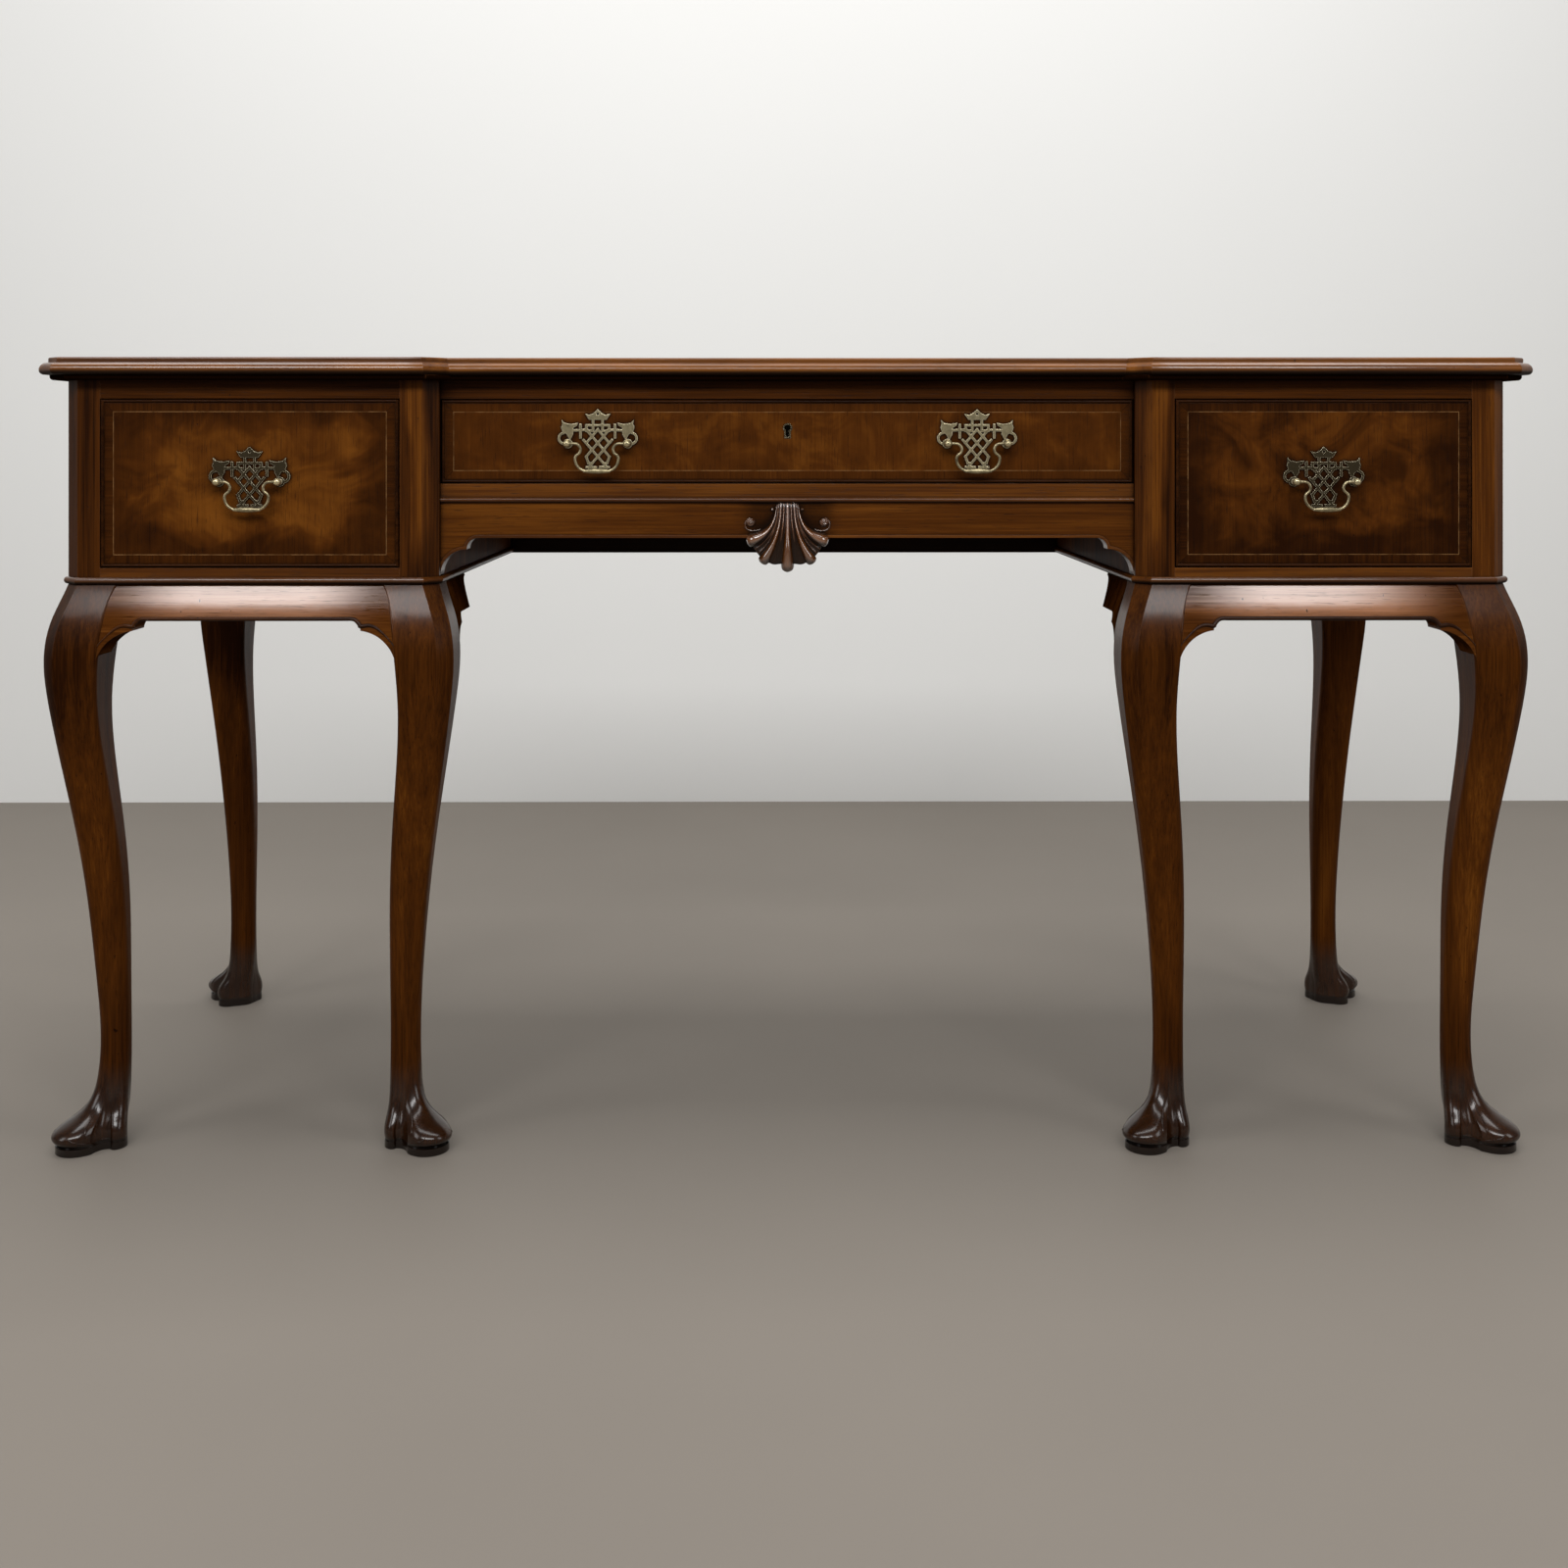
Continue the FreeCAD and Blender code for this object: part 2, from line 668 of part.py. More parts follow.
def make_leg():
    """Cabriole leg at the right front outer corner, from the case down to the pad of the foot."""
    top_outline = block_half_outline(leg_block, corner_cant / leg_block, leg_top_corner_share, 0)
    wires = [leg_outline(top_outline, -leg_block / 2, leg_height)]
    for height, outset, width_share, outer_cut, other_cut, outer_round in leg_section_shares:
        width = width_share * leg_block
        outline = block_half_outline(width, outer_cut, other_cut, outer_round)
        wires.append(leg_outline(outline, outset * knee_outset - width / 2, height * leg_height))
    wires.append(foot_wire(0, foot_height))
    for height, spread in foot_spread_shares:
        wires.append(foot_wire(spread, height * foot_height))
    sole_z = foot_pad_height + foot_groove_height
    wires.append(foot_wire(foot_sole_spread_share, sole_z))
    leg = Part.makeLoft(wires, True, False)
    up = Vector(0, 0, 1)
    groove = Part.Face(foot_wire(foot_groove_spread_share, foot_pad_height)).extrude(up * foot_groove_height)
    pad = Part.Face(foot_wire(foot_pad_spread_share, 0)).extrude(up * foot_pad_height)
    return leg.multiFuse([groove, pad])


def knee_section(length, start_x):
    """Bulging board under the case: its face follows the knees of the legs."""
    face = [Vector(start_x, knee_rail_set_back, leg_height)]
    for height, outset, *rest in leg_section_shares:
        z = height * leg_height
        if z > leg_height - ear_depth:
            face.append(Vector(start_x, knee_rail_set_back - outset * knee_outset, z))
    low_z = leg_height - ear_depth
    face.append(Vector(start_x, knee_rail_set_back - knee_outset, low_z))
    curve = Part.BSplineCurve()
    curve.interpolate(face)
    back_low = Vector(start_x, knee_rail_thickness, low_z)
    back_high = Vector(start_x, knee_rail_thickness, leg_height)
    outline = Part.makePolygon([face[-1], back_low, back_high, face[0]])
    section = Part.Face(Part.Wire([curve.toShape()] + outline.Edges))
    return section.extrude(Vector(length, 0, 0))


def ear_space(leg_x, side):
    """Space beside a leg under a knee rail: big arc off the leg, cusp, small arc up to the flat."""
    flat_z = leg_height - knee_rail_height
    cusp_z = flat_z - ear_small_arc
    cusp_x = leg_x - ear_cusp_reach
    arc_x = leg_x - ear_big_arc
    arc_z = cusp_z - math.sqrt(ear_big_arc ** 2 - (cusp_x - arc_x) ** 2)
    y_from = -2 * knee_outset
    depth = knee_rail_thickness + overrun - y_from
    back = Vector(0, 1, 0)
    low_z = leg_height - 2 * ear_depth
    small_x = cusp_x - ear_small_arc
    pieces = [
        block(small_x - leg_x, small_x, y_from, y_from + depth, low_z, flat_z),
        block(small_x - overrun, cusp_x, y_from, y_from + depth, low_z, cusp_z),
        block(arc_x - overrun, leg_x, y_from, y_from + depth, low_z, arc_z),
        Part.makeCylinder(ear_small_arc, depth, Vector(small_x, y_from, cusp_z), back),
        Part.makeCylinder(ear_big_arc, depth, Vector(arc_x, y_from, arc_z), back),
    ]
    space = pieces[0].multiFuse(pieces[1:])
    return space if side > 0 else space.mirror(Vector(0, 0, 0), Vector(1, 0, 0))


def knee_rail(span):
    """Rail between two legs whose blocks stand span apart, middle at the origin, face to -Y."""
    half = span / 2
    rail = knee_section(span + 2 * leg_grip, -half - leg_grip)
    for side in (-1, 1):
        rail = rail.cut(ear_space(half + knee_outset, side))
    return rail


def ear_block():
    """Short shaped ear running off a leg whose block ends at the origin, face to -Y."""
    ear = knee_section(leg_grip + ear_block_length, -leg_grip)
    ear_x = knee_outset + ear_block_length
    space = ear_space(ear_x, -1)
    space.translate(Vector(ear_block_length, 0, 0))
    flat_z = leg_height - knee_rail_height
    y_from = -2 * knee_outset
    end = Vector(ear_block_length, y_from, flat_z)
    scoop = Part.makeCylinder(knee_rail_height - ear_tip, knee_rail_thickness - 2 * y_from, end, Vector(0, 1, 0))
    return ear.cut(space).cut(scoop)


def largest(shape):
    """The piece itself, without the offcuts inside a leg."""
    return max(shape.Solids, key=lambda solid: solid.Volume)


def make_stand():
    leg = make_leg()
    middle = Vector(pedestal_middle_x, 0, 0)
    inner_leg = leg.mirror(middle, Vector(1, 0, 0))
    rear_leg = leg.mirror(Vector(0, 0, 0), Vector(0, 1, 0))
    for name, shape in (("front_outer_leg", leg), ("front_inner_leg", inner_leg), ("rear_leg", rear_leg)):
        save("right_" + name, shape)
        save("left_" + name, mirrored(shape))

    front_rail = knee_rail(pedestal_width - 2 * leg_block)
    front_rail.translate(Vector(pedestal_middle_x, front_y, 0))
    front_rail = largest(front_rail.cut(leg).cut(inner_leg))
    save("right_front_knee_rail", front_rail)
    save("left_front_knee_rail", mirrored(front_rail))

    side_rail = knee_rail(case_depth - 2 * leg_block)
    side_rail.rotate(Vector(0, 0, 0), Vector(0, 0, 1), 90)
    side_rail.translate(Vector(half_width, 0, 0))
    side_rail = largest(side_rail.cut(leg).cut(rear_leg))
    save("right_side_knee_rail", side_rail)
    save("left_side_knee_rail", mirrored(side_rail))

    inner_ear = ear_block()
    inner_ear.rotate(Vector(0, 0, 0), Vector(0, 0, 1), 90)
    inner_ear.translate(Vector(-inner_x, front_y + leg_block, 0))
    inner_ear = largest(inner_ear.cut(mirrored(inner_leg)))
    rear_ear = ear_block()
    rear_ear.rotate(Vector(0, 0, 0), Vector(0, 0, 1), 180)
    rear_ear.translate(Vector(half_width - leg_block, back_y, 0))
    rear_ear = largest(rear_ear.cut(rear_leg))
    save("leg_ears", *both(inner_ear), *both(rear_ear))


def cock_bead(x_from, x_to, z_from, z_to, face_y):
    """Four mitred strips round a drawer front, let into its edge and standing proud of its face."""
    nose = cock_bead_width / 2
    height = cock_bead_depth + cock_bead_projection
    shoulder = height - nose
    steps = [
        ((cock_bead_width, 0),),
        ((0, 0),),
        ((0, shoulder),),
        ((nose, shoulder), (nose, height)),
        ((nose, shoulder), (cock_bead_width, shoulder)),
    ]
    edge = [(x_from, z_from), (x_to, z_from), (x_to, z_to), (x_from, z_to)]
    strips = mitred_lengths(edge, cock_bead_width, steps, -face_y - cock_bead_depth, True)
    for strip in strips:
        strip.rotate(Vector(0, 0, 0), Vector(1, 0, 0), 90)
    return strips


def dovetailed_side(x_from, front_back, ride_z, side_top, tails):
    """Left-hand drawer side with its tails reaching into the drawer front."""
    side = block(x_from, x_from + drawer_side_thickness, front_back, drawer_back_y, ride_z, side_top)
    pitch = (side_top - ride_z) / tails
    base = pitch * dovetail_base_share / 2
    tip = base + dovetail_flare
    tip_y = front_back - dovetail_length
    for index in range(tails):
        z = ride_z + (index + 0.5) * pitch
        side = side.fuse(prism([
            Vector(x_from, front_back, z - base),
            Vector(x_from, tip_y, z - tip),
            Vector(x_from, tip_y, z + tip),
            Vector(x_from, front_back, z + base),
        ], Vector(drawer_side_thickness, 0, 0)))
    return side.removeSplitter()


def make_drawer(name, x_from, x_to, z_from, z_to, face_y, tails, handles, front_cuts):
    """Drawer in an opening; the front is cut for its handle bolts and for whatever is let into it."""
    front_x = (x_from + drawer_gap, x_to - drawer_gap)
    front_z = (z_from + drawer_gap, z_to - drawer_gap)
    front_back = face_y + drawer_front_thickness
    ride_z = z_from + drawer_run_clearance
    side_top = z_to - drawer_side_top_room
    inside = (front_x[0] + drawer_side_thickness, front_x[1] - drawer_side_thickness)
    bottom_z = (ride_z + drawer_bottom_lift, ride_z + drawer_bottom_lift + drawer_bottom_thickness)

    left_side = dovetailed_side(front_x[0], front_back, ride_z, side_top, tails)
    left_side = left_side.cut(block(inside[0] - drawer_groove, inside[0], front_back, drawer_back_y, *bottom_z))
    right_side = left_side.mirror(Vector((x_from + x_to) / 2, 0, 0), Vector(1, 0, 0))
    save(name + "_sides", left_side, right_side)

    front = block(*front_x, face_y, front_back, *front_z)
    bead_back = face_y + cock_bead_depth
    rebate = block(*front_x, face_y, bead_back, *front_z).cut(block(
        front_x[0] + cock_bead_width, front_x[1] - cock_bead_width, face_y, bead_back,
        front_z[0] + cock_bead_width, front_z[1] - cock_bead_width,
    ))
    tongue_groove = block(*inside, front_back - drawer_groove, front_back, *bottom_z)
    cuts = [rebate, tongue_groove, left_side, right_side] + front_cuts
    for x, z in handles:
        cuts += bolt_holes(x, z, face_y - plate_thickness, front_back)
    for cut in cuts:
        front = front.cut(cut)
    save(name + "_front", front.Solids[0])
    save(name + "_cock_bead", *cock_bead(*front_x, *front_z, face_y))

    slack = drawer_groove - drawer_groove_clearance
    board = block(inside[0] - slack, inside[1] + slack, front_back, drawer_back_y, *bottom_z)
    tongue = block(*inside, front_back - slack, front_back, *bottom_z)
    save(name + "_bottom", board.fuse(tongue).removeSplitter())
    back_from = drawer_back_y - drawer_back_thickness
    save(name + "_back", block(*inside, back_from, drawer_back_y, bottom_z[1], side_top - drawer_back_drop))


def bolt_holes(x, z, y_from, y_to):
    """Holes for the two bolts of a handle."""
    radius = bolt_radius + bolt_clearance
    reach = y_to - y_from
    return [
        Part.makeCylinder(radius, reach, Vector(x + side * bolt_spacing / 2, y_from, z), Vector(0, 1, 0))
        for side in (-1, 1)
    ]


def plate_point(x_share, z_share):
    return Vector(x_share * plate_half_width, 0, z_share * plate_rise)


def plate_strip(start, end):
    """Flat bar of the pierced plate from one point to another, with square ends past both."""
    along = (end - start).normalize() * (plate_bar / 2)
    across = Vector(along.z, 0, -along.x)
    corners = [start - along - across, end + along - across, end + along + across, start - along + across]
    return prism(corners, Vector(0, plate_thickness, 0))


def handle_plate(x, z, face_y):
    """Pierced plate: lattice of crossing bars under a roofed crest, with a leaf over each bolt."""
    pieces = []
    lines = []
    for steps in plate_lattice_steps:
        points = [(i * lattice_x_share, lattice_rise_share + j * lattice_z_share) for i, j in steps]
        lines.append(points)
    for points in lines + list(plate_bar_shares):
        for start, end in zip(points, points[1:]):
            for side in (-1, 1):
                pieces.append(plate_strip(
                    plate_point(side * start[0], start[1]), plate_point(side * end[0], end[1])))
    through = Vector(0, plate_thickness, 0)
    crest = list(plate_crest_shares) + [(-i, j) for i, j in reversed(plate_crest_shares[1:])]
    pieces.append(prism([plate_point(i, j) for i, j in crest], through))
    back = Vector(0, 1, 0)
    for side in (-1, 1):
        pieces.append(prism([plate_point(side * i, j) for i, j in plate_leaf_shares], through))
        bolt = Vector(side * bolt_spacing / 2, 0, 0)
        pieces.append(Part.makeCylinder(bolt_boss_radius, plate_thickness, bolt, back))
        middle = plate_point(side * plate_ring_shares[0], plate_ring_shares[1])
        outer = plate_ring_radius + plate_bar / 2
        ring = Part.makeCylinder(outer, plate_thickness, middle, back)
        ring = ring.cut(Part.makeCylinder(plate_ring_radius - plate_bar / 2, plate_thickness, middle, back))
        half = [middle.x, middle.x + side * outer]
        pieces.append(ring.common(block(
            min(half), max(half), 0, plate_thickness, middle.z - outer, middle.z + outer)))
    plate = pieces[0].multiFuse(pieces[1:]).removeSplitter()
    eye = plate_point(*plate_eye_shares)
    plate = plate.cut(Part.makeCylinder(plate_eye_radius, plate_thickness, eye, back))
    for hole in bolt_holes(0, 0, 0, plate_thickness):
        plate = plate.cut(hole)
    plate.translate(Vector(x, face_y - plate_thickness, z))
    return plate.Solids[0]


def handle_bolts(x, z, face_y):
    """Two bolts with ball heads that hold the plate, and their nuts inside the drawer."""
    plate_front = face_y - plate_thickness
    pivot_y = plate_front - bail_stand_off
    collar_y = plate_front - bolt_collar_height
    front_back = face_y + drawer_front_thickness
    tip_y = pivot_y - math.sqrt(bolt_ball_radius ** 2 - bolt_tip_radius ** 2)
    neck_y = pivot_y + math.sqrt(bolt_ball_radius ** 2 - bolt_radius ** 2)
    end_y = front_back + bolt_end_length
    steps = [
        ((0, tip_y),),
        ((bolt_tip_radius, tip_y),),
        ((0, pivot_y), (bolt_radius, neck_y)),
        ((bolt_radius, collar_y),),
        ((bolt_collar_radius, collar_y),),
        ((bolt_collar_radius, plate_front),),
        ((bolt_radius, plate_front),),
        ((bolt_radius, end_y),),
        ((0, end_y),),
    ]
    back = Vector(0, 1, 0)
    solids = []
    for side in (-1, 1):
        bolt_x = x + side * bolt_spacing / 2
        ball = Vector(bolt_x, pivot_y, z)
        section = profile_face(steps, lambda reach, y: Vector(bolt_x + reach, y, z))
        eye_end = ball + Vector(side * (bail_pin_overlap + bail_clearance), 0, 0)
        eye = Part.makeCylinder(bail_radius + bail_clearance, 2 * bolt_ball_radius, eye_end, Vector(-side, 0, 0))
        solids.append(section.revolve(ball, back, 360).cut(eye).Solids[0])

        nut_middle = Vector(bolt_x, front_back, z)
        corners = []
        for index in range(6):
            turn = math.radians(60 * index)
            corners.append(nut_middle + Vector(nut_radius * math.cos(turn), 0, nut_radius * math.sin(turn)))
        nut = prism(corners, Vector(0, nut_height, 0))
        hole = Part.makeCylinder(bolt_radius + bolt_clearance, nut_height, nut_middle, back)
        solids.append(nut.cut(hole))
    return solids


def handle_bail(x, z, face_y):
    """Swan-neck bail: pins in the ball heads, drawn-in necks, and a grip that swells in the middle."""
    pivot_y = face_y - plate_thickness - bail_stand_off
    start_x = bolt_spacing / 2 + bail_pin_overlap
    neck_from = bolt_spacing / 2 - bail_pin_length
    neck_x = neck_from - bail_neck_arc
    swell_arc = (bail_swell ** 2 + bail_swell_height ** 2) / (4 * bail_swell)
    wide_x = neck_x + bail_swell
    wide_z = -bail_neck_arc - bail_swell_height
    grip_x = wide_x - bail_corner_arc
    grip_z = wide_z - bail_corner_arc
    between = (neck_x + bail_swell / 2, -bail_neck_arc - bail_swell_height / 2)
    right = [
        ((start_x, 0),),
        ((neck_from, 0),),
        ((neck_from, -bail_neck_arc), (neck_x, -bail_neck_arc)),
        ((neck_x + swell_arc, -bail_neck_arc), between),
        ((wide_x - swell_arc, wide_z), (wide_x, wide_z)),
        ((grip_x, wide_z), (grip_x, grip_z)),
    ]
    left = [((-grip_x, grip_z),)]
    for step, before in zip(reversed(right[1:]), reversed(right[:-1])):
        left.append(tuple((-i, j) for i, j in (*step[:-1], before[-1])))

    def place(i, j):
        return Vector(x + i, pivot_y, z + j)

    path = Part.Wire(path_edges(right + left, place))
    pin_end = Part.Wire(Part.makeCircle(bail_radius, place(start_x, 0), Vector(1, 0, 0)))
    bail = path.makePipeShell([pin_end], True, False)
    half_grip = bail_grip_length / 2
    swell = Part.Arc(
        place(-half_grip, grip_z + bail_radius), place(0, grip_z + bail_grip_radius),
        place(half_grip, grip_z + bail_radius)).toShape()
    axis = Part.makePolygon([
        place(half_grip, grip_z + bail_radius), place(half_grip, grip_z),
        place(-half_grip, grip_z), place(-half_grip, grip_z + bail_radius)])
    grip = Part.Face(Part.Wire([swell] + axis.Edges)).revolve(place(0, grip_z), Vector(1, 0, 0), 360)
    return bail.fuse(grip).Solids[0]


def keyhole(grow, y_from, y_to):
    """Round-headed keyhole through the middle of the centre drawer."""
    depth = y_to - y_from
    half_slot = keyhole_slot_width / 2 + grow
    head = Part.makeCylinder(keyhole_radius + grow, depth, Vector(0, y_from, keyhole_z), Vector(0, 1, 0))
    low_z = keyhole_z - keyhole_slot_length - grow
    return head.fuse(block(-half_slot, half_slot, y_from, y_to, low_z, keyhole_z)).removeSplitter()


def make_lock():
    """Lock let into the back of the centre drawer front. Returns what the front is cut with."""
    front_back = centre_y + drawer_front_thickness
    top_z = opening_top_z - drawer_gap
    half_case = lock_case_width / 2
    case_y = front_back - lock_case_depth
    case = block(-half_case, half_case, case_y, front_back, top_z - lock_case_height, top_z)
    half_bolt = lock_bolt_width / 2
    bolt_y = (front_back - lock_bolt_back_set - lock_bolt_thickness, front_back - lock_bolt_back_set)
    slot = block(
        -half_bolt - lock_clearance, half_bolt + lock_clearance,
        bolt_y[0] - lock_clearance, bolt_y[1] + lock_clearance,
        top_z - lock_bolt_length - lock_clearance, top_z + overrun,
    )
    pocket = case.copy()
    case = case.cut(slot).cut(keyhole(0, case_y, case_y + keyhole_lock_depth))
    save("lock_case", case)
    save("lock_bolt", block(-half_bolt, half_bolt, *bolt_y, top_z - lock_bolt_length, top_z))
    thread_back = centre_y + keyhole_thread_depth
    thread_seat = keyhole(keyhole_thread_width, centre_y - keyhole_thread_proud, thread_back)
    hole = keyhole(0, centre_y - overrun, case_y)
    save("keyhole_thread", thread_seat.cut(hole))
    return [pocket, hole, thread_seat]


def make_drawers():
    pedestal_handle_z = (pedestal_opening_z + opening_top_z) / 2 + pedestal_handle_rise
    for side, name in ((1, "right"), (-1, "left")):
        x_from, x_to = sorted((side * opening_inner_x, side * opening_outer_x))
        handle = (side * pedestal_middle_x, pedestal_handle_z)
        make_drawer(
            name + "_drawer", x_from, x_to, pedestal_opening_z, opening_top_z, front_y,
            pedestal_drawer_tails, [handle], [])
        save(name + "_handle_plate", handle_plate(*handle, front_y))
        save(name + "_handle_bolts", *handle_bolts(*handle, front_y))
        save(name + "_bail", handle_bail(*handle, front_y))

    centre_handle_z = centre_middle_z - centre_handle_drop
    handles = [(side * centre_handle_reach, centre_handle_z) for side in (-1, 1)]
    make_drawer(
        "centre_drawer", -inner_x, inner_x, centre_opening_z, opening_top_z, centre_y,
        centre_drawer_tails, handles, make_lock())
    save("centre_handle_plates", *[handle_plate(*handle, centre_y) for handle in handles])
    save("centre_handle_bolts", *[solid for handle in handles for solid in handle_bolts(*handle, centre_y)])
    for name, handle in zip(("centre_left_bail", "centre_right_bail"), handles):
        save(name, handle_bail(*handle, centre_y))


os.makedirs("parts", exist_ok=True)
make_top()
make_case()
make_runners()
make_centre(make_shell())
make_stand()
make_drawers()
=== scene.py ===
"""Finishes, carving and a plain studio for the walnut kneehole desk."""
from math import cos, pi, radians, sin, sqrt

import bmesh
import bpy
from bpy.props import FloatProperty, FloatVectorProperty, PointerProperty
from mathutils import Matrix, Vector
from mathutils.bvhtree import BVHTree
from mathutils.geometry import interpolate_bezier


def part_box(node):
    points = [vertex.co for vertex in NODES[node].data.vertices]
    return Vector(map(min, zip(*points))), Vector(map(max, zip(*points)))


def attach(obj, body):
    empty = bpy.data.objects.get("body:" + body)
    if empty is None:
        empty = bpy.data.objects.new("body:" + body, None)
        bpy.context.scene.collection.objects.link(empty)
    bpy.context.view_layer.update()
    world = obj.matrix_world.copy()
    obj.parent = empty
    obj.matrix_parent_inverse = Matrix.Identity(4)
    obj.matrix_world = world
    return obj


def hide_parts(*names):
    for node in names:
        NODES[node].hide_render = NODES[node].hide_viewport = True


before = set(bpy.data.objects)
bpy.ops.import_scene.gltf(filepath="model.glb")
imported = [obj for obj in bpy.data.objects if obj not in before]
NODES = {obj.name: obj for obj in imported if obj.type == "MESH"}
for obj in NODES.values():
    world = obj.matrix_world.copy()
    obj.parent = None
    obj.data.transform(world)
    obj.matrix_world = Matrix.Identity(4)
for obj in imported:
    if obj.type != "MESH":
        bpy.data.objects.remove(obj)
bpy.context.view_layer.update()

bl_info = {
    "name": "Walnut kneehole desk",
    "version": (1, 0, 0),
    "blender": (4, 5, 0),
    "location": "View3D > Sidebar > Desk",
    "description": "Finishes, carving and a studio for a walnut kneehole desk",
    "category": "Object",
}

ALONG_X, ALONG_Y, ALONG_Z = range(3)
LEGS = [f"{side}_{place}_leg" for side in ("left", "right")
        for place in ("front_outer", "front_inner", "rear")]
DRAWERS = ("left", "centre", "right")

# The shell's lines from top to rim, its eyes and scrolls: sideways and down, in shares of its height
SHELL_LINES = (
    ((0.0, 0.0), (0.0, 0.33), (0.0, 0.67), (0.0, 1.0)),
    ((0.096, 0.0), (0.096, 0.36), (0.194, 0.63), (0.380, 0.873)),
    ((0.158, 0.03), (0.172, 0.30), (0.284, 0.49), (0.590, 0.560)),
)
EYE_PLACE = (0.531, 0.281)
CURL_PLACE = (0.212, 0.092)
SCROLL_LINE = ((0.545, 0.215), (0.600, 0.270), (0.610, 0.345), (0.560, 0.392), (0.480, 0.402), (0.395, 0.385))
# Half a rib's width, as a share of the shell's half width
RIB_HALF = 0.118
# Tail of a knee bead from the cusp of its rail, sideways and up, in metres
KNEE_TAIL = ((0.0, 0.0), (0.008, 0.0010), (0.015, -0.0012), (0.0215, -0.0062), (0.028, -0.0125),
             (0.033, -0.0185))
# Ridges of a foot: height in metres, and degrees round the ankle from the toe
FOOT_RIDGES = (
    ((0.044, 23), (0.036, 24), (0.029, 25), (0.023, 27), (0.016, 29)),
    ((0.044, 60), (0.037, 57), (0.031, 54), (0.026, 51), (0.019, 47)),
    ((0.021, 13), (0.0165, 19), (0.0128, 27), (0.0110, 36), (0.0104, 46), (0.0104, 55)),
)


class Wire:
    """A socket inside a finish, on which sums are written as plain expressions."""

    def __init__(self, tree, socket=None):
        self.tree = tree
        self.socket = socket

    def node(self, kind, settings=None, sockets=None, output=0):
        """Adds a node: its settings first, then the values or links of its sockets."""
        made = self.tree.nodes.new(kind)
        for name, value in (settings or {}).items():
            if name == "stops":
                for place, _ in value[1:-1]:
                    made.color_ramp.elements.new(place)
                for element, (place, colour) in zip(made.color_ramp.elements, value):
                    element.position = place
                    element.color = (*colour, 1)
            else:
                setattr(made, name, value)
        for name, value in (sockets or {}).items():
            if isinstance(value, Wire):
                self.tree.links.new(value.socket, made.inputs[name])
            else:
                made.inputs[name].default_value = value
        return Wire(self.tree, made.outputs[output] if len(made.outputs) else None)

    def math(self, operation, *values):
        """Adds a sum of one kind."""
        return self.node("ShaderNodeMath", {"operation": operation}, dict(enumerate(values)))

    def __add__(self, other):
        return self.math("ADD", self, other)

    def __radd__(self, other):
        return self.math("ADD", other, self)

    def __sub__(self, other):
        return self.math("SUBTRACT", self, other)

    def __rsub__(self, other):
        return self.math("SUBTRACT", other, self)

    def __mul__(self, other):
        return self.math("MULTIPLY", self, other)

    def __rmul__(self, other):
        return self.math("MULTIPLY", other, self)

    def __truediv__(self, other):
        return self.math("DIVIDE", self, other)

    def __pow__(self, other):
        return self.math("POWER", self, other)

    def __abs__(self):
        return self.math("ABSOLUTE", self)

    def rise(self, start, end):
        """Goes smoothly from 0 at the start to 1 at the end, which may be the lower of the two."""
        sockets = {"Value": self, "From Min": start, "From Max": end}
        return self.node("ShaderNodeMapRange", {"interpolation_type": "SMOOTHSTEP"}, sockets)

    def blend(self, first, second):
        """Goes from one colour to another by this share."""
        return self.node("ShaderNodeMix", {"data_type": "RGBA"}, {0: self, 6: first, 7: second}, 2)

    def parts(self):
        """The three numbers of a vector."""
        split = self.node("ShaderNodeSeparateXYZ", None, {"Vector": self}).socket.node
        return [Wire(self.tree, socket) for socket in split.outputs]

    def stretch(self, scale, start=(0, 0, 0), turn=(0, 0, 0)):
        """Places that are stretched, turned and moved."""
        sockets = {"Vector": self, "Location": start, "Rotation": turn, "Scale": scale}
        return self.node("ShaderNodeMapping", None, sockets)

    def noise(self, scale, detail=2.0, roughness=0.5, distortion=0.0):
        """Soft clouds from 0 to 1."""
        sockets = {"Vector": self, "Scale": scale, "Detail": detail, "Roughness": roughness,
                   "Distortion": distortion}
        return self.node("ShaderNodeTexNoise", None, sockets)


def new_finish(name):
    """An empty material, the wire that its nodes are added with, and where a point is on the desk at rest."""
    material = bpy.data.materials.new(name)
    material.use_nodes = True
    material.node_tree.nodes.clear()
    wire = Wire(material.node_tree)
    return material, wire, wire.node("ShaderNodeTexCoord", None, None, "Object")


def close_finish(wire, sockets):
    """Ends a finish in one shader."""
    shader = wire.node("ShaderNodeBsdfPrincipled", None, sockets)
    wire.node("ShaderNodeOutputMaterial", None, {"Surface": shader})


def close_polish(wire, sockets, specular, coat, softness=0.13, coat_ior=1.5):
    """Ends a polished wood: its own sheen, and the wax over it."""
    close_finish(wire, {**sockets, "Specular IOR Level": specular, "Coat Weight": coat,
                        "Coat Roughness": softness, "Coat IOR": coat_ior})


def solid(colour, share=1.0):
    """A colour with its strength, ready for a socket."""
    return (*(part * share for part in colour), 1.0)


def tint(name, share=1.0):
    """One of the desk's own colours with its strength, ready for a socket."""
    return solid(getattr(bpy.context.scene.desk_finish, name), share)


def facing(wire):
    """Which way a point of the surface faces."""
    return wire.node("ShaderNodeNewGeometry", None, None, "Normal")


def edges(wire, radius, start=0.01, end=0.22):
    """The rounded normal of a piece, and how close a point is to an edge."""
    rounded = wire.node("ShaderNodeBevel", {"samples": 4}, {"Radius": radius})
    settings = {"operation": "DOT_PRODUCT"}
    agreement = wire.node("ShaderNodeVectorMath", settings, {0: rounded, 1: facing(wire)}, "Value")
    return rounded, (1 - agreement).rise(start, end)


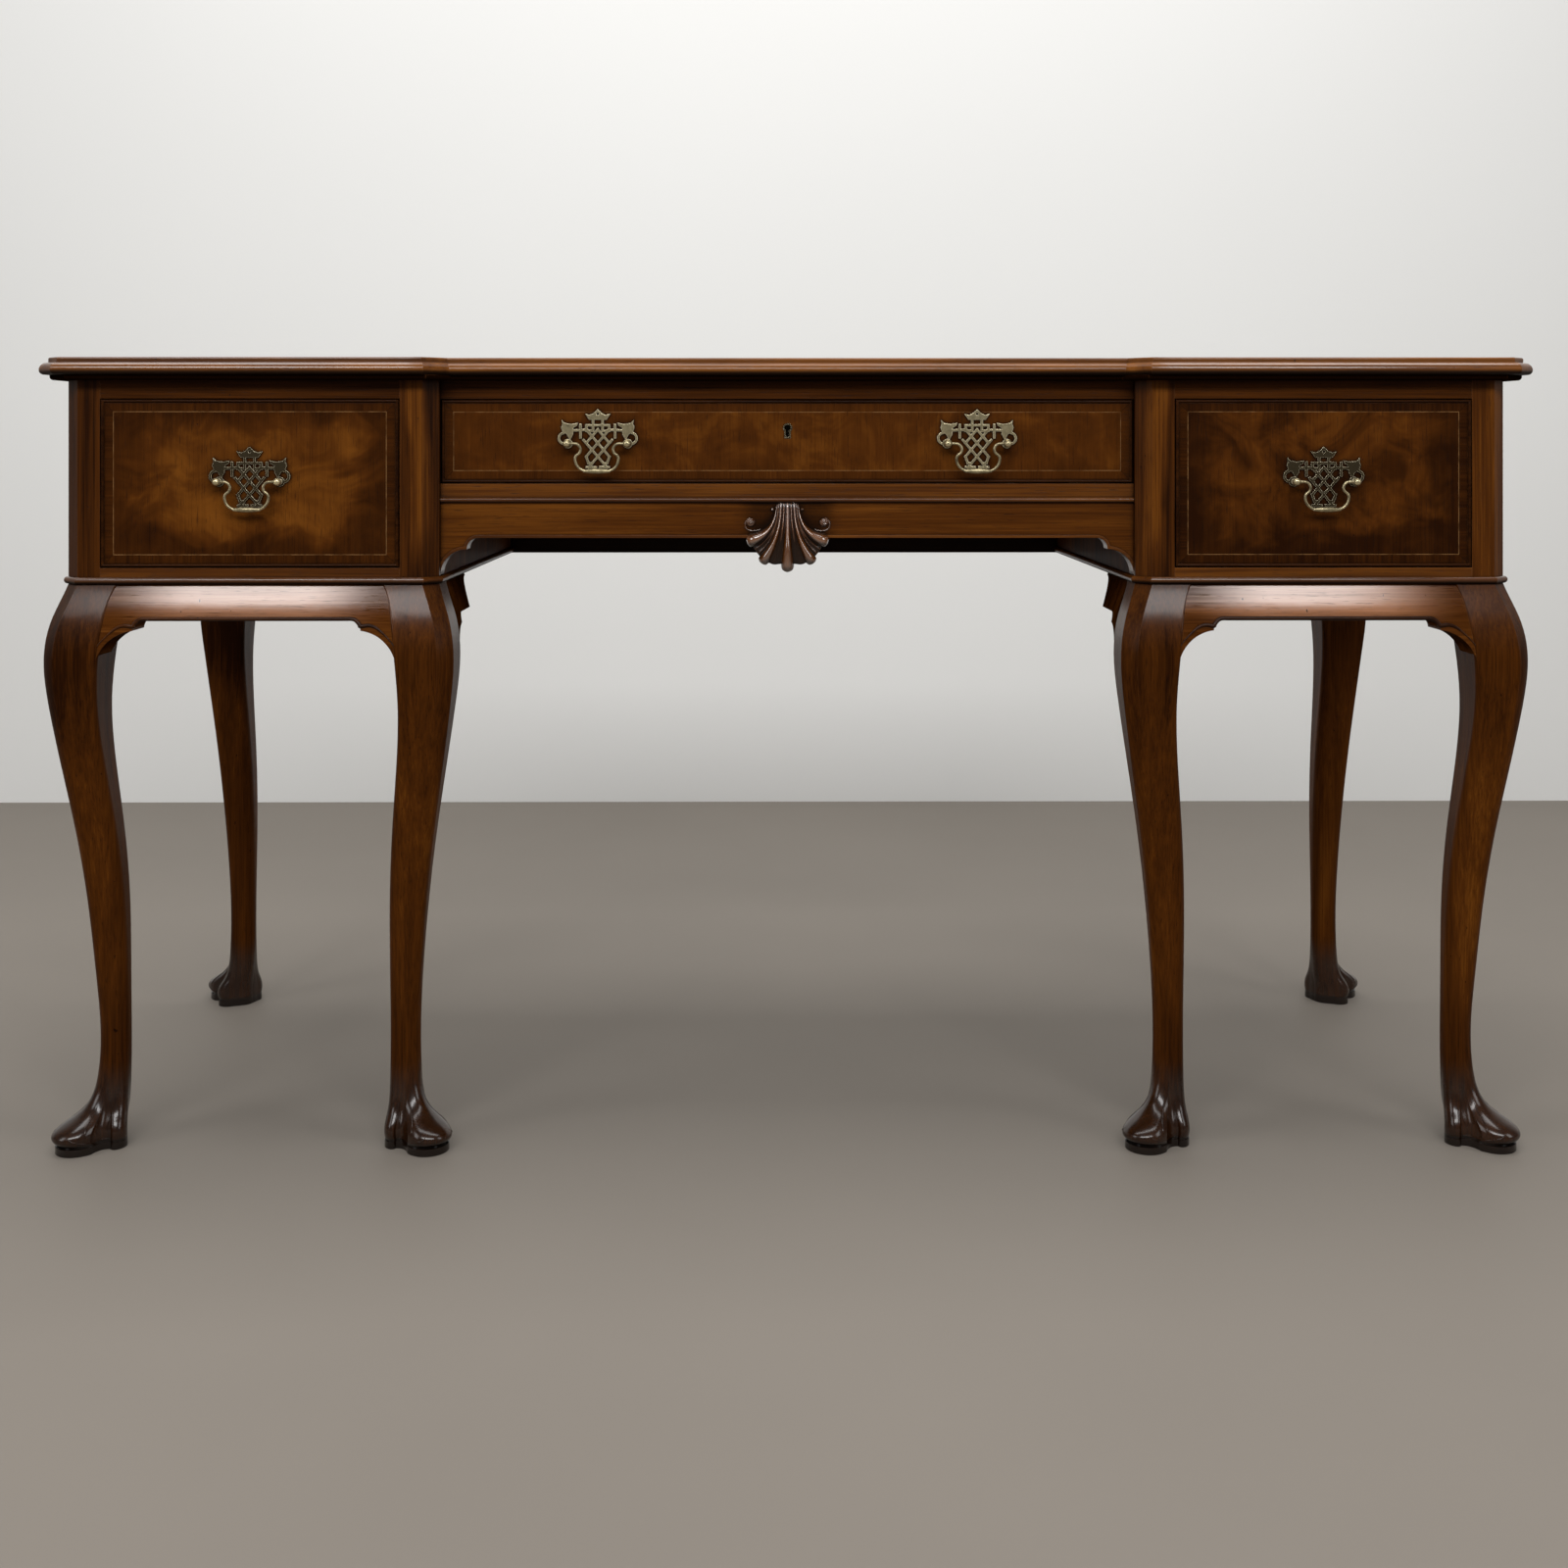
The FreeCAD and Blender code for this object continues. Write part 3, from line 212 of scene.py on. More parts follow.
def open_share(wire, reach):
    """1 in the open, falling to 0 deep in a corner or a gap."""
    return wire.node("ShaderNodeAmbientOcclusion", {"samples": 5}, {"Distance": reach}, "AO")


def bump(wire, height, strength, depth, rounded):
    """The normal of a surface with a fine relief."""
    sockets = {"Height": height, "Strength": strength, "Distance": depth, "Normal": rounded}
    return wire.node("ShaderNodeBump", None, sockets)


def timber(place, grain, start=0.0, turn=(0, 0, 0)):
    """Broad bands, streaks, fine lines and pores of a board whose grain runs along one axis."""
    def board(share):
        scale = [1.0, 1.0, 1.0]
        scale[grain] = share
        return place.stretch(scale, (start, start * 0.7, start * 1.3), turn)
    bands = board(0.09).noise(11.0, 3.0, 0.55, 0.7)
    streaks = board(0.045).noise(75.0, 3.0, 0.6, 0.35)
    lines = board(0.016).noise(520.0, 2.0, 0.6)
    pores = board(0.05).noise(1150.0, 1.0, 0.5).rise(0.62, 0.74)
    return bands, streaks, lines, pores


def joined(first, second, mask):
    """The grain of two boards: the first where the mask is 0, the second where it is 1."""
    return [one * (1 - mask) + other * mask for one, other in zip(first, second)]


def wood_tone(parts, level, broad=0.9, streaky=0.9, fine=0.7):
    """How light the wood is, round a level, from 0 for its darkest to 1 for its most golden."""
    bands, streaks, lines = parts[:3]
    return (bands - 0.5) * broad + (streaks - 0.5) * streaky + (lines - 0.5) * fine + level


def walnut_colour(tone):
    """The colour of walnut for how light it is."""
    finish = bpy.context.scene.desk_finish
    stops = [(0.0, finish.walnut_dark), (0.5, finish.walnut_mid), (1.0, finish.walnut_light)]
    return tone.node("ShaderNodeValToRGB", {"stops": stops}, {"Fac": tone})


def old_polish(wire, colour, parts, place, gloss=0.24, reach=0.014, wear=0.5, depth=0.32, stain=0.0):
    """Old wax over walnut: painted shade in corners, gaps and on undersides, dark in pores and dents, a
    little paler on worn edges.
    """
    edge_round, grain_depth = 0.0014, 0.00025
    streaks, lines, pores = parts[1:]
    rounded, edge = edges(wire, edge_round)
    shade = open_share(wire, reach).rise(0.15, 0.88)
    patches = place.noise(38.0, 3.0, 0.6)
    dents = place.stretch((1.0, 1.0, 0.6)).noise(290.0, 0.0).rise(0.86, 0.89)
    wear_and_painted_highlight = edge * patches.rise(0.3, 0.7) * wear
    # Faces turned downwards get painted shade.
    underside = facing(wire).parts()[ALONG_Z].rise(-0.25, -0.7)
    dark = tint("shade_and_polish_dark")
    colour = (pores * 0.45).blend(colour, dark)
    # A darkening share given by the caller paints shade over the whole piece, on top of the painted shade of
    # undersides.
    colour = (underside * (0.7 - stain) + stain).blend(colour, dark)
    colour = wear_and_painted_highlight.blend(colour, tint("wear_and_highlight_walnut"))
    # Painted shade in corners and gaps, from how open a point is.
    colour = ((1 - shade) * 0.9).blend(colour, dark)
    colour = (dents * 0.8).blend(colour, dark)
    roughness = gloss + patches * 0.10 + pores * 0.12 + (1 - shade) * 0.2 + lines * 0.06 + underside * 0.3
    height = streaks * 0.25 + lines * 0.5 - pores * 0.8 - dents * 2.5
    normal = bump(wire, height, depth, grain_depth, rounded)
    return {"Base Color": colour, "Roughness": roughness, "Normal": normal}


def walnut(name, grain, level, start, coat=0.03, specular=0.06, **polish):
    """Polished walnut with its grain along one axis."""
    material, wire, place = new_finish(name)
    parts = timber(place, grain, start)
    sockets = old_polish(wire, walnut_colour(wood_tone(parts, level)), parts, place, **polish)
    close_polish(wire, sockets, specular, coat)
    return material


def post_walnut(name):
    """Posts: upright grain, with a golden flame in the canted posts beside the kneehole."""
    post_middle, flame_edge, flame_core, sway = 0.362, 0.013, 0.003, 0.03
    material, wire, place = new_finish(name)
    x, _, z = place.parts()
    parts = timber(place, ALONG_Z, 0.1)
    drift = (place.noise(9.0, 2.0) - 0.5) * sway
    flame = abs(abs(x) + drift - post_middle).rise(flame_edge, flame_core) * z.rise(0.56, 0.62)
    far_right, far_left = x.rise(0.4, 0.7), x.rise(-0.5, -0.7)
    tone = wood_tone(parts, 0.3, 0.9, 1.1, 0.9) + flame * 0.5 + far_right * 0.26 - far_left * 0.1
    sockets = old_polish(wire, walnut_colour(tone), parts, place, reach=0.04)
    close_polish(wire, sockets, 0.07, 0.05, 0.14)
    return material


def moulding(name, level, coat, specular, streaky=0.9, ends=0.0, low=0.0, **polish):
    """Walnut moulding: grain along each length, glossier over the pedestals, with painted shade where it
    turns down.
    """
    material, wire, place = new_finish(name)
    normal_x, normal_y, normal_z = facing(wire).parts()
    sideways = (abs(normal_x) - abs(normal_y)).rise(-0.05, 0.05)
    parts = joined(timber(place, ALONG_X), timber(place, ALONG_Y, 0.4), sideways)
    colour = walnut_colour(wood_tone(parts, level, streaky, streaky))
    # Painted shade on the part of the profile that turns downwards.
    colour = (normal_z.rise(0.1, -0.4) * low).blend(colour, tint("shade_and_polish_dark"))
    sockets = old_polish(wire, colour, parts, place, **{"gloss": 0.22, **polish})
    x = place.parts()[ALONG_X]
    pedestal = abs(x).rise(0.355, 0.37)
    upward, outward = normal_z.rise(-0.4, 0.0), (x * normal_x).rise(-0.05, 0.0)
    shine = (pedestal * ends + coat) * upward * outward
    close_polish(wire, sockets, specular, shine if coat else 0.0, 0.12)
    return material


def back_walnut(name):
    """Back panel: plain walnut outside, nearly black with painted shade on the side towards the kneehole."""
    material, wire, place = new_finish(name)
    parts = timber(place, ALONG_X, 1.7)
    kneehole_side_shade = facing(wire).parts()[ALONG_Y].rise(-0.4, -0.8)
    # Faces turned towards the kneehole are painted almost black, as shade.
    colour = (kneehole_side_shade * 0.92).blend(walnut_colour(wood_tone(parts, 0.42)), tint("shade_and_polish_dark"))
    close_polish(wire, old_polish(wire, colour, parts, place, 0.36), 0.06, 0.03)
    return material


def apron_walnut(name):
    """Apron: long grain, with old polish gathered round the carving, deepened by painted shade close to its
    relief.
    """
    stain_edge, stain_core, sway = 0.056, 0.03, 0.022
    material, wire, place = new_finish(name)
    parts = timber(place, ALONG_X, 2.3)
    # Painted shade close to the carving, from how open a point is.
    relief_shade = open_share(wire, 0.03).rise(0.97, 0.78)
    away = abs(place.parts()[ALONG_X]) + (place.noise(60.0, 3.0) - 0.5) * sway
    # Darker round the carving: old polish, made deeper by painted shade close to the relief.
    stain = away.rise(stain_edge, stain_core) * (0.4 + relief_shade * 0.5)
    colour = stain.blend(walnut_colour(wood_tone(parts, 0.62)), tint("shade_and_polish_dark"))
    front = facing(wire).parts()[ALONG_Y].rise(-0.3, -0.8)
    close_polish(wire, old_polish(wire, colour, parts, place), 0.03, front * 0.2)
    return material


def shell_walnut(name):
    """Carved walnut: painted shade in the hollows, worn crests, and a painted highlight along the crests of
    the upper half.
    """
    low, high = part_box("shell_carving")
    material, wire, place = new_finish(name)
    parts = timber(place, ALONG_Z, 5.3)
    hollow = wire.node("ShaderNodeAttribute", {"attribute_name": "hollow"}, None, "Fac")
    upper = ((place.parts()[ALONG_Z] - low.z) / (high.z - low.z)).rise(0.3, 0.65)
    colour = walnut_colour(wood_tone(parts, 0.55))
    # Painted shade in the hollows between the ribs.
    colour = (hollow.rise(0.35, 0.8) * 0.85).blend(colour, tint("shade_and_polish_dark"))
    # Crests are lightened: wear, and towards the top of the shell a painted highlight.
    colour = (hollow.rise(0.3, 0.0) * (0.25 + upper * 0.45)).blend(colour, tint("wear_and_highlight_walnut", 1.3))
    sockets = old_polish(wire, colour, parts, place, 0.18, 0.006)
    close_polish(wire, sockets, 0.3, hollow.rise(0.75, 0.2) * 0.95 + 0.05, 0.12, 2.5)
    return material


def leg_walnut(name):
    """Walnut leg: warm down its middle, glossy at the knee, glossy and nearly black at the foot."""
    material, wire, place = new_finish(name)
    x, _, z = place.parts()
    parts = timber(place, ALONG_Z, 0.2)
    warm = z.rise(0.05, 0.2) * z.rise(0.47, 0.34)
    pad_shade, foot = z.rise(0.011, 0.008), z.rise(0.085, 0.045)
    knee, block = z.rise(0.475, 0.53), z.rise(0.49, 0.54)
    left_bend = x.rise(-0.64, -0.70) * z.rise(0.36, 0.44)
    upward = facing(wire).parts()[ALONG_Z].rise(-0.02, 0.18)
    tone = wood_tone(parts, 0.23, 0.7, 0.8, 0.7) + warm * 0.22 + block * 0.12 - left_bend * 0.2
    # The foot is darker, and its lowest band is painted shade where it meets the floor.
    colour = (foot * 0.58 + pad_shade * 0.34).blend(walnut_colour(tone), tint("shade_and_polish_dark"))
    sockets = old_polish(wire, colour, parts, place, 0.27, wear=0.5 - foot * 0.47)
    close_polish(wire, sockets, 0.03, knee * upward * 0.45 + foot * 0.95, 0.19)
    return material


def rail_walnut(name, grain, start, middle, reach):
    """Knee rail: painted pale highlight and real shine along its crown, dying away to brown at its ends."""
    material, wire, place = new_finish(name)
    parts = timber(place, grain, start)
    streaks, lines, pores = parts[1:]
    crown = abs(abs(place.parts()[grain]) - middle).rise(reach, reach * 0.35)
    upper = place.parts()[ALONG_Z].rise(0.513, 0.53)
    under = facing(wire).parts()[ALONG_Z].rise(0.05, -0.35)
    # Painted highlight: the crown is lighter, and along the top of the rail it is blended towards pale worn
    # walnut.
    colour = walnut_colour(wood_tone(parts, 0.50, 0.8, 0.9, 0.8) + crown * 0.14)
    wear_and_painted_highlight = upper * crown * (0.8 + (streaks - 0.5) * 0.7 + (lines - 0.5) * 0.7)
    wear_and_painted_highlight = wire.node("ShaderNodeClamp", None, {"Value": wear_and_painted_highlight})
    colour = wear_and_painted_highlight.blend(colour, tint("wear_and_highlight_walnut", 1.5))
    sockets = old_polish(wire, colour, parts, place, 0.2, depth=0.4)
    shine = 0.16 + crown * 0.84 + (streaks - 0.5) * 0.3 + (lines - 0.5) * 0.4 - pores * 0.25
    close_polish(wire, sockets, 0.0, shine * (1 - under * 0.95), 0.15, 1.64)
    return material


def panel_sizes(low, high, axes):
    """Middle and half size of a panel along two axes, from its box."""
    return [(low[axis] + high[axis]) / 2 for axis in axes], [(high[axis] - low[axis]) / 2 for axis in axes]


def banded(wire, place, middle, half, axes):
    """Crossbanding and string line round a panel, measured in from its edges."""
    finish = bpy.context.scene.desk_finish
    width, line_half = finish.band_width, finish.string_width / 2
    blur, joint_half = 0.0002, 0.0005
    first, second = [size - abs(place.parts()[axis] - centre)
                     for axis, centre, size in zip(axes, middle, half)]
    gap = wire.math("MINIMUM", first, second)
    band = gap.rise(width + blur, width - blur)
    line = abs(gap - (width + line_half)).rise(line_half + blur, line_half - blur)
    ends = (first - second).rise(blur, -blur)
    joint = abs(first - second).rise(joint_half, blur) * band
    parts = joined(timber(place, axes[1], 0.6), timber(place, axes[0], 0.3), ends)
    return band, line, joint, parts


def drawer_veneer(name, node, level, gain, patchy, slant, lift, reach):
    """Drawer front: crossbanding, a thin pale string and a figured field that is golden in its middle."""
    axes, squareness = (ALONG_X, ALONG_Z), 3.5
    middle, half = panel_sizes(*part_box(node), axes)
    material, wire, place = new_finish(name)
    x, _, z = place.parts()
    band, line, joint, band_parts = banded(wire, place, middle, half, axes)
    field_parts = timber(place, ALONG_Z, 0.9 + middle[0], (0, slant, 0))
    across = (x - middle[0]) / half[0]
    up = (z - middle[1]) / half[1] - lift
    spread = (abs(across) ** squareness + abs(up) ** squareness) ** (1 / squareness)
    wander = place.stretch((1.0, 1.0, 1.3), (middle[0], 0, 0)).noise(13.0, 3.0, 0.62, 0.9)
    cloud = place.noise(17.0, 3.0, 0.6, 1.2)
    glow = (spread + (wander - 0.5) * 1.1).rise(reach, reach - 0.41)
    glow = glow * (1 - patchy + cloud.rise(0.32, 0.62) * patchy)
    field = wood_tone(field_parts, level, 0.22, 0.2, 0.28) + glow * gain + (cloud - 0.5) * 0.5
    border = wood_tone(band_parts, level + 0.05, 0.4, 0.4, 0.5)
    colour = walnut_colour(border * band + field * (1 - band))
    worn_line = line * (0.25 + place.noise(70.0, 2.0).rise(0.35, 0.6) * 0.5)
    colour = worn_line.blend(colour, tint("string_colour"))
    colour = (joint * 0.6).blend(colour, tint("shade_and_polish_dark"))
    # Painted shade close to gaps and to the handles, from how open a point is.
    gap_shade = open_share(wire, 0.02).rise(0.98, 0.72)
    colour = (gap_shade * 0.75).blend(colour, tint("shade_and_polish_dark"))
    sockets = old_polish(wire, colour, joined(field_parts, band_parts, band), place)
    close_polish(wire, sockets, 0.05, 0.02, 0.16)
    return material


def top_veneer(name):
    """Top panel: figured walnut with crossbanding and a string line."""
    axes = (ALONG_X, ALONG_Y)
    material, wire, place = new_finish(name)
    middle, half = panel_sizes(*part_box("top_panel"), axes)
    band, line, joint, band_parts = banded(wire, place, middle, half, axes)
    field_parts = timber(place, ALONG_X, 0.55)
    swirl = place.stretch((0.35, 1.0, 1.0)).noise(7.0, 4.0, 0.6, 1.6)
    field = wood_tone(field_parts, 0.52, 0.8, 0.6, 0.7) + (swirl - 0.5) * 0.8
    border = wood_tone(band_parts, 0.42, 0.5, 0.8, 0.7)
    colour = walnut_colour(border * band + field * (1 - band))
    colour = (line * 0.6).blend(colour, tint("string_colour"))
    colour = (joint * 0.6).blend(colour, tint("shade_and_polish_dark"))
    sockets = old_polish(wire, colour, joined(field_parts, band_parts, band), place)
    close_polish(wire, sockets, 0.2, 0.15, 0.16)
    return material


def oak(name, grain, stain=0.0):
    """Dry oak of the drawer linings, with flecks across the grain and painted shade in the corners."""
    edge_round, grain_depth = 0.0010, 0.0003
    material, wire, place = new_finish(name)
    bands, streaks, lines, pores = timber(place, grain, 0.15)
    scale = [0.35, 0.35, 0.35]
    scale[(grain + 1) % 3] = 0.08
    flecks = place.stretch(scale).noise(420.0, 1.0).rise(0.60, 0.72)
    tone = (bands * 0.4 + streaks * 0.35 + lines * 0.3 + flecks * 0.14 - stain).rise(0.26, 0.8)
    colour = tone.blend(tint("oak_dark"), tint("oak_light"))
    colour = (pores * 0.5).blend(colour, tint("oak_dark", 0.4))
    # Painted shade in corners.
    shade = open_share(wire, 0.03).rise(0.2, 0.9)
    colour = ((1 - shade) * 0.6).blend(colour, tint("oak_dark", 0.35))
    rounded, edge = edges(wire, edge_round)
    normal = bump(wire, streaks * 0.3 + lines * 0.8 - pores, 0.45, grain_depth, rounded)
    roughness = 0.58 + lines * 0.16 - edge * 0.08
    close_finish(wire, {"Base Color": colour, "Roughness": roughness, "Normal": normal,
                        "Specular IOR Level": 0.25})
    return material


def brass(name, polish, patina, rim=0.0007):
    """Old brass: brown on its flats and in its hollows, bright where fingers and cloths reach, with pale rims
    that are partly wear and partly painted highlight.
    """
    pit_depth = 0.0003
    material, wire, place = new_finish(name)
    rounded, edge = edges(wire, rim, 0.004, 0.12)
    shade = open_share(wire, 0.006).rise(0.25, 0.95)
    cloud = place.noise(160.0, 3.0, 0.6)
    scratch = place.stretch((1.0, 0.3, 0.12), turn=(0, 0.5, 0)).noise(2600.0, 1.0)
    rub = (shade * polish + edge * 0.9 + (cloud - 0.5) * 0.6).rise(0.30, 1.0)
    colour = rub.blend(tint("brass_dark"), tint("brass_bright"))
    tarnish = (1 - shade) * patina
    colour = tarnish.blend(colour, tint("brass_dark", 0.35))
    # Pale rims: worn brass, and a painted highlight along the edges.
    colour = (edge * 0.75).blend(colour, tint("brass_rim_wear_and_highlight"))
    normal = bump(wire, cloud * 0.6 + scratch * 0.15, 0.3, pit_depth, rounded)
    close_finish(wire, {"Base Color": colour, "Metallic": 0.8 - tarnish * 0.4 - edge * 0.6,
                        "Roughness": 0.36 - rub * 0.20 + scratch * 0.08, "Normal": normal})
    return material


def dress(names, material):
    """Gives nodes of the desk their finish."""
    for name in names:
        for slot in NODES[name].material_slots:
            slot.material = material


def smooth(value, start, end):
    """Smooth share from 0 at the start to 1 at the end."""
    share = min(max((value - start) / (end - start), 0.0), 1.0)
    return share * share * (3 - 2 * share)


def smooth_line(points, steps):
    """Points along a soft curve through the given points."""
    points = [Vector(point) for point in points]
    line = []
    for index in range(len(points) - 1):
        before = points[max(index - 1, 0)]
        after = points[min(index + 2, len(points) - 1)]
        start, end = points[index], points[index + 1]
        leave, arrive = start + (end - before) / 6, end - (after - start) / 6
        line += interpolate_bezier(start, leave, arrive, end, steps + 1)[:-1]
    return line + [points[-1]]


def add_tube(form, points, radii, sides=10):
    """Adds a tapering round ridge that follows a line."""
    rings = []
    side = None
    for index, point in enumerate(points):
        ahead = (points[min(index + 1, len(points) - 1)] - points[max(index - 1, 0)]).normalized()
        if side is None:
            side = ahead.orthogonal()
        side = (side - ahead * side.dot(ahead)).normalized()
        other = ahead.cross(side)
        rings.append([form.verts.new(point + (side * cos(turn) + other * sin(turn)) * radii[index])
                      for turn in (2 * pi * step / sides for step in range(sides))])
    for one, two in zip(rings, rings[1:]):
        for index in range(sides):
            after = (index + 1) % sides
            form.faces.new((one[index], one[after], two[after], two[index]))
    form.faces.new(reversed(rings[0]))
    form.faces.new(rings[-1])


def add_scroll_eye(form, middle, radius, height, turns, hand):
    """Adds a domed eye with a spiral cut round it, standing on the apron's face."""
    rounds, sides, groove = 12, 36, 0.28
    crown = form.verts.new(middle + Vector((0, -height, 0)))
    last = None
    for ring in range(1, rounds + 1):
        share = ring / rounds
        out = radius * share
        dome = height * sqrt(max(1 - share * share, 0))
        row = []
        for step in range(sides):
            turn = 2 * pi * step / sides
            wave = 0.5 + 0.5 * cos(2 * pi * turns * share - hand * turn)
            lift = dome * (1 - groove + groove * wave) if ring < rounds else 0
            row.append(form.verts.new(middle + Vector((cos(turn) * out, -lift, sin(turn) * out))))
        for index in range(sides):
            after = (index + 1) % sides
            if last is None:
                form.faces.new((crown, row[index], row[after]))
            else:
                form.faces.new((last[index], row[index], row[after], last[after]))
        last = row
    form.faces.new(reversed(last))


def shell_place(across, down):
    """Where a point of the shell lies, sideways and down, in shares of its height."""
    side = abs(across)
    weights = (2 * (side - 0.5) * (side - 1), -4 * side * (side - 1), 2 * side * (side - 0.5))
    poles = [[sum(weight * line[pole][axis] for weight, line in zip(weights, SHELL_LINES)) for axis in (0, 1)]
             for pole in range(4)]
    rest = 1 - down
    shares = (rest ** 3, 3 * rest * rest * down, 3 * rest * down * down, down ** 3)
    place = [sum(share * pole[axis] for share, pole in zip(shares, poles)) for axis in (0, 1)]
    return (place[0] if across > 0 else -place[0]), place[1]


def rib_round(across):
    """Half-round profile of the nearest of the five ribs: 1 on its crest, 0 at its foot."""
    away = abs(across - round(2 * across) / 2) / RIB_HALF
    return sqrt(max(1 - away * away, 0))


def shell_face(across, down):
    """How far the shell's carved face stands out, and how hollow it is there."""
    relief = bpy.context.scene.desk_carving.shell_relief
    rim_height, swell, thread_height, pair_height = 0.0008, 0.0040, 0.0016, 0.0010
    pair_place, pair_pitch, tip_length = 0.69, 0.12, 0.14
    wave = 0.5 + 0.5 * cos(4 * pi * across)
    side = abs(across)
    crest = wave ** 2.4
    crest += (rib_round(across) - crest) * smooth(down, 0.35, 0.80)
    thread = (1 - wave) ** 7 * (1 - smooth(down, 0.30, 0.80))
    pair = (0.5 + 0.5 * cos(2 * pi * (side - pair_place) / pair_pitch)) ** 2
    pair *= smooth(side, 0.58, 0.66) * smooth(side, 0.92, 0.84)
    ground = rim_height + swell * sin(pi * 0.85 * down)
    lift = ground + relief * (0.28 + 0.72 * smooth(down, 0.05, 0.70)) * crest
    lift += thread_height * thread + pair_height * smooth(down, 0.35, 0.6) * pair
    tip = sqrt(max(1 - max((down - 1) / tip_length + 1, 0) ** 2, 0))
    top = smooth(down, -0.04, 0.06)
    hollow = max(1 - crest - thread - 0.5 * pair, 0)
    return lift * (0.22 + 0.78 * tip) * (0.4 + 0.6 * top), hollow


def add_shell(form, top, height, back):
    """Adds the carved shell: ribs gathered at its top that swell to rounded tips."""
    columns, rows, reach = 200, 64, 1.13
    layer = form.verts.layers.float.new("hollow")
    sheets = []
    for carved in (True, False):
        sheet = []
        for column in range(columns + 1):
            across = reach * (2 * column / columns - 1)
            scallop = 0.07 + 0.04 * smooth(abs(across), 0.3, 0.1)
            length = 1 - scallop + scallop * rib_round(across) ** 0.7
            line = []
            for row in range(rows + 1):
                down = row / rows
                side, drop = shell_place(across, down * length)
                lift, hollow = shell_face(across, down)
                point = form.verts.new((side * height, back - lift if carved else back, top - drop * height))
                point[layer] = hollow
                line.append(point)
            sheet.append(line)
        sheets.append(sheet)
        for column in range(columns):
            for row in range(rows):
                line, after = sheet[column], sheet[column + 1]
                corners = (line[row], line[row + 1], after[row + 1], after[row])
                form.faces.new(corners if carved else reversed(corners))
    front, rear = sheets
    rim = [(column, 0) for column in range(columns)] + [(columns, row) for row in range(rows)]
    rim += [(column, rows) for column in range(columns, 0, -1)] + [(0, row) for row in range(rows, 0, -1)]
    for here, there in zip(rim, rim[1:] + rim[:1]):
        corners = ((front, here), (front, there), (rear, there), (rear, here))
        form.faces.new([sheet[column][row] for sheet, (column, row) in corners])


def new_piece(name, form, material):
    """Turns a form into a smooth piece that belongs to the desk."""
    crease = radians(50)
    bmesh.ops.recalc_face_normals(form, faces=form.faces)
    mesh = bpy.data.meshes.new(name)
    form.to_mesh(mesh)
    form.free()
    mesh.shade_smooth()
    mesh.set_sharp_from_angle(angle=crease)
    mesh.materials.append(material)
    piece = bpy.data.objects.new(name, mesh)
    bpy.context.scene.collection.objects.link(piece)
    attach(piece, "desk")
    return piece


def surface_of(names):
    """The joined faces of some nodes, for finding points on them."""
    points, faces = [], []
    for name in names:
        mesh = NODES[name].data
        first = len(points)
        points += [vertex.co for vertex in mesh.vertices]
        faces += [[first + index for index in face.vertices] for face in mesh.polygons]
    return BVHTree.FromPolygons(points, faces)


def lower_edge(surface, point, inward, top, bottom):
    """Height of a rail's lower edge, seen from outside."""
    tolerance = 0.0001
    while top - bottom > tolerance:
        height = (top + bottom) / 2
        if surface.ray_cast(Vector((point.x, point.y, height)), inward)[0] is None:
            bottom = height
        else:
            top = height
    return top


def knee_bead_line(rail, legs, outward, inward):
    """Half of a knee bead: along the rail's lower edge to its cusp, then a tail over the knee."""
    step, wide_steps, fine_steps, cusp_steps = 0.001, 8, 4, 12
    margin, bead_up, tail_up, taper = 0.01, 0.0013, 0.0022, 0.7
    low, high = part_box(rail)
    edge = surface_of([rail])
    ground = surface_of([rail] + legs)
    outside = (low + high) / 2 - inward
    count = int(abs((high - low).dot(outward)) / 2 / step) - 2
    heights = [lower_edge(edge, outside + outward * step * index, inward, high.z - margin, low.z - margin)
               for index in range(count)]
    drops = [one - two for one, two in zip(heights, heights[1:])]
    cusp = max(range(count // 2, count - 1), key=drops.__getitem__)
    stops = [*range(0, cusp - cusp_steps, wide_steps), *range(cusp - cusp_steps, cusp + 1, fine_steps)]
    line = [Vector((step * index, heights[index] + bead_up, 0)) for index in stops]
    start = Vector((step * (cusp + 1), heights[cusp + 1] + tail_up, 0))
    line += [start + Vector((along, up, 0)) for along, up in KNEE_TAIL]
    radius = bpy.context.scene.desk_carving.knee_bead / 2
    points, radii = [], []
    for along, height, _ in smooth_line(line, steps=4):
        seen = outside + outward * along
        place = ground.ray_cast(Vector((seen.x, seen.y, height)), inward)[0]
        if place is not None:
            points.append(place)
            radii.append(radius * (1 - taper * smooth(along, start.x, start.x + KNEE_TAIL[-1][0])))
    return points, radii


def middle_of(points):
    """Middle of the box round some points, on plan."""
    return Vector([(min(point[axis] for point in points) + max(point[axis] for point in points)) / 2
                   for axis in (0, 1)] + [0])


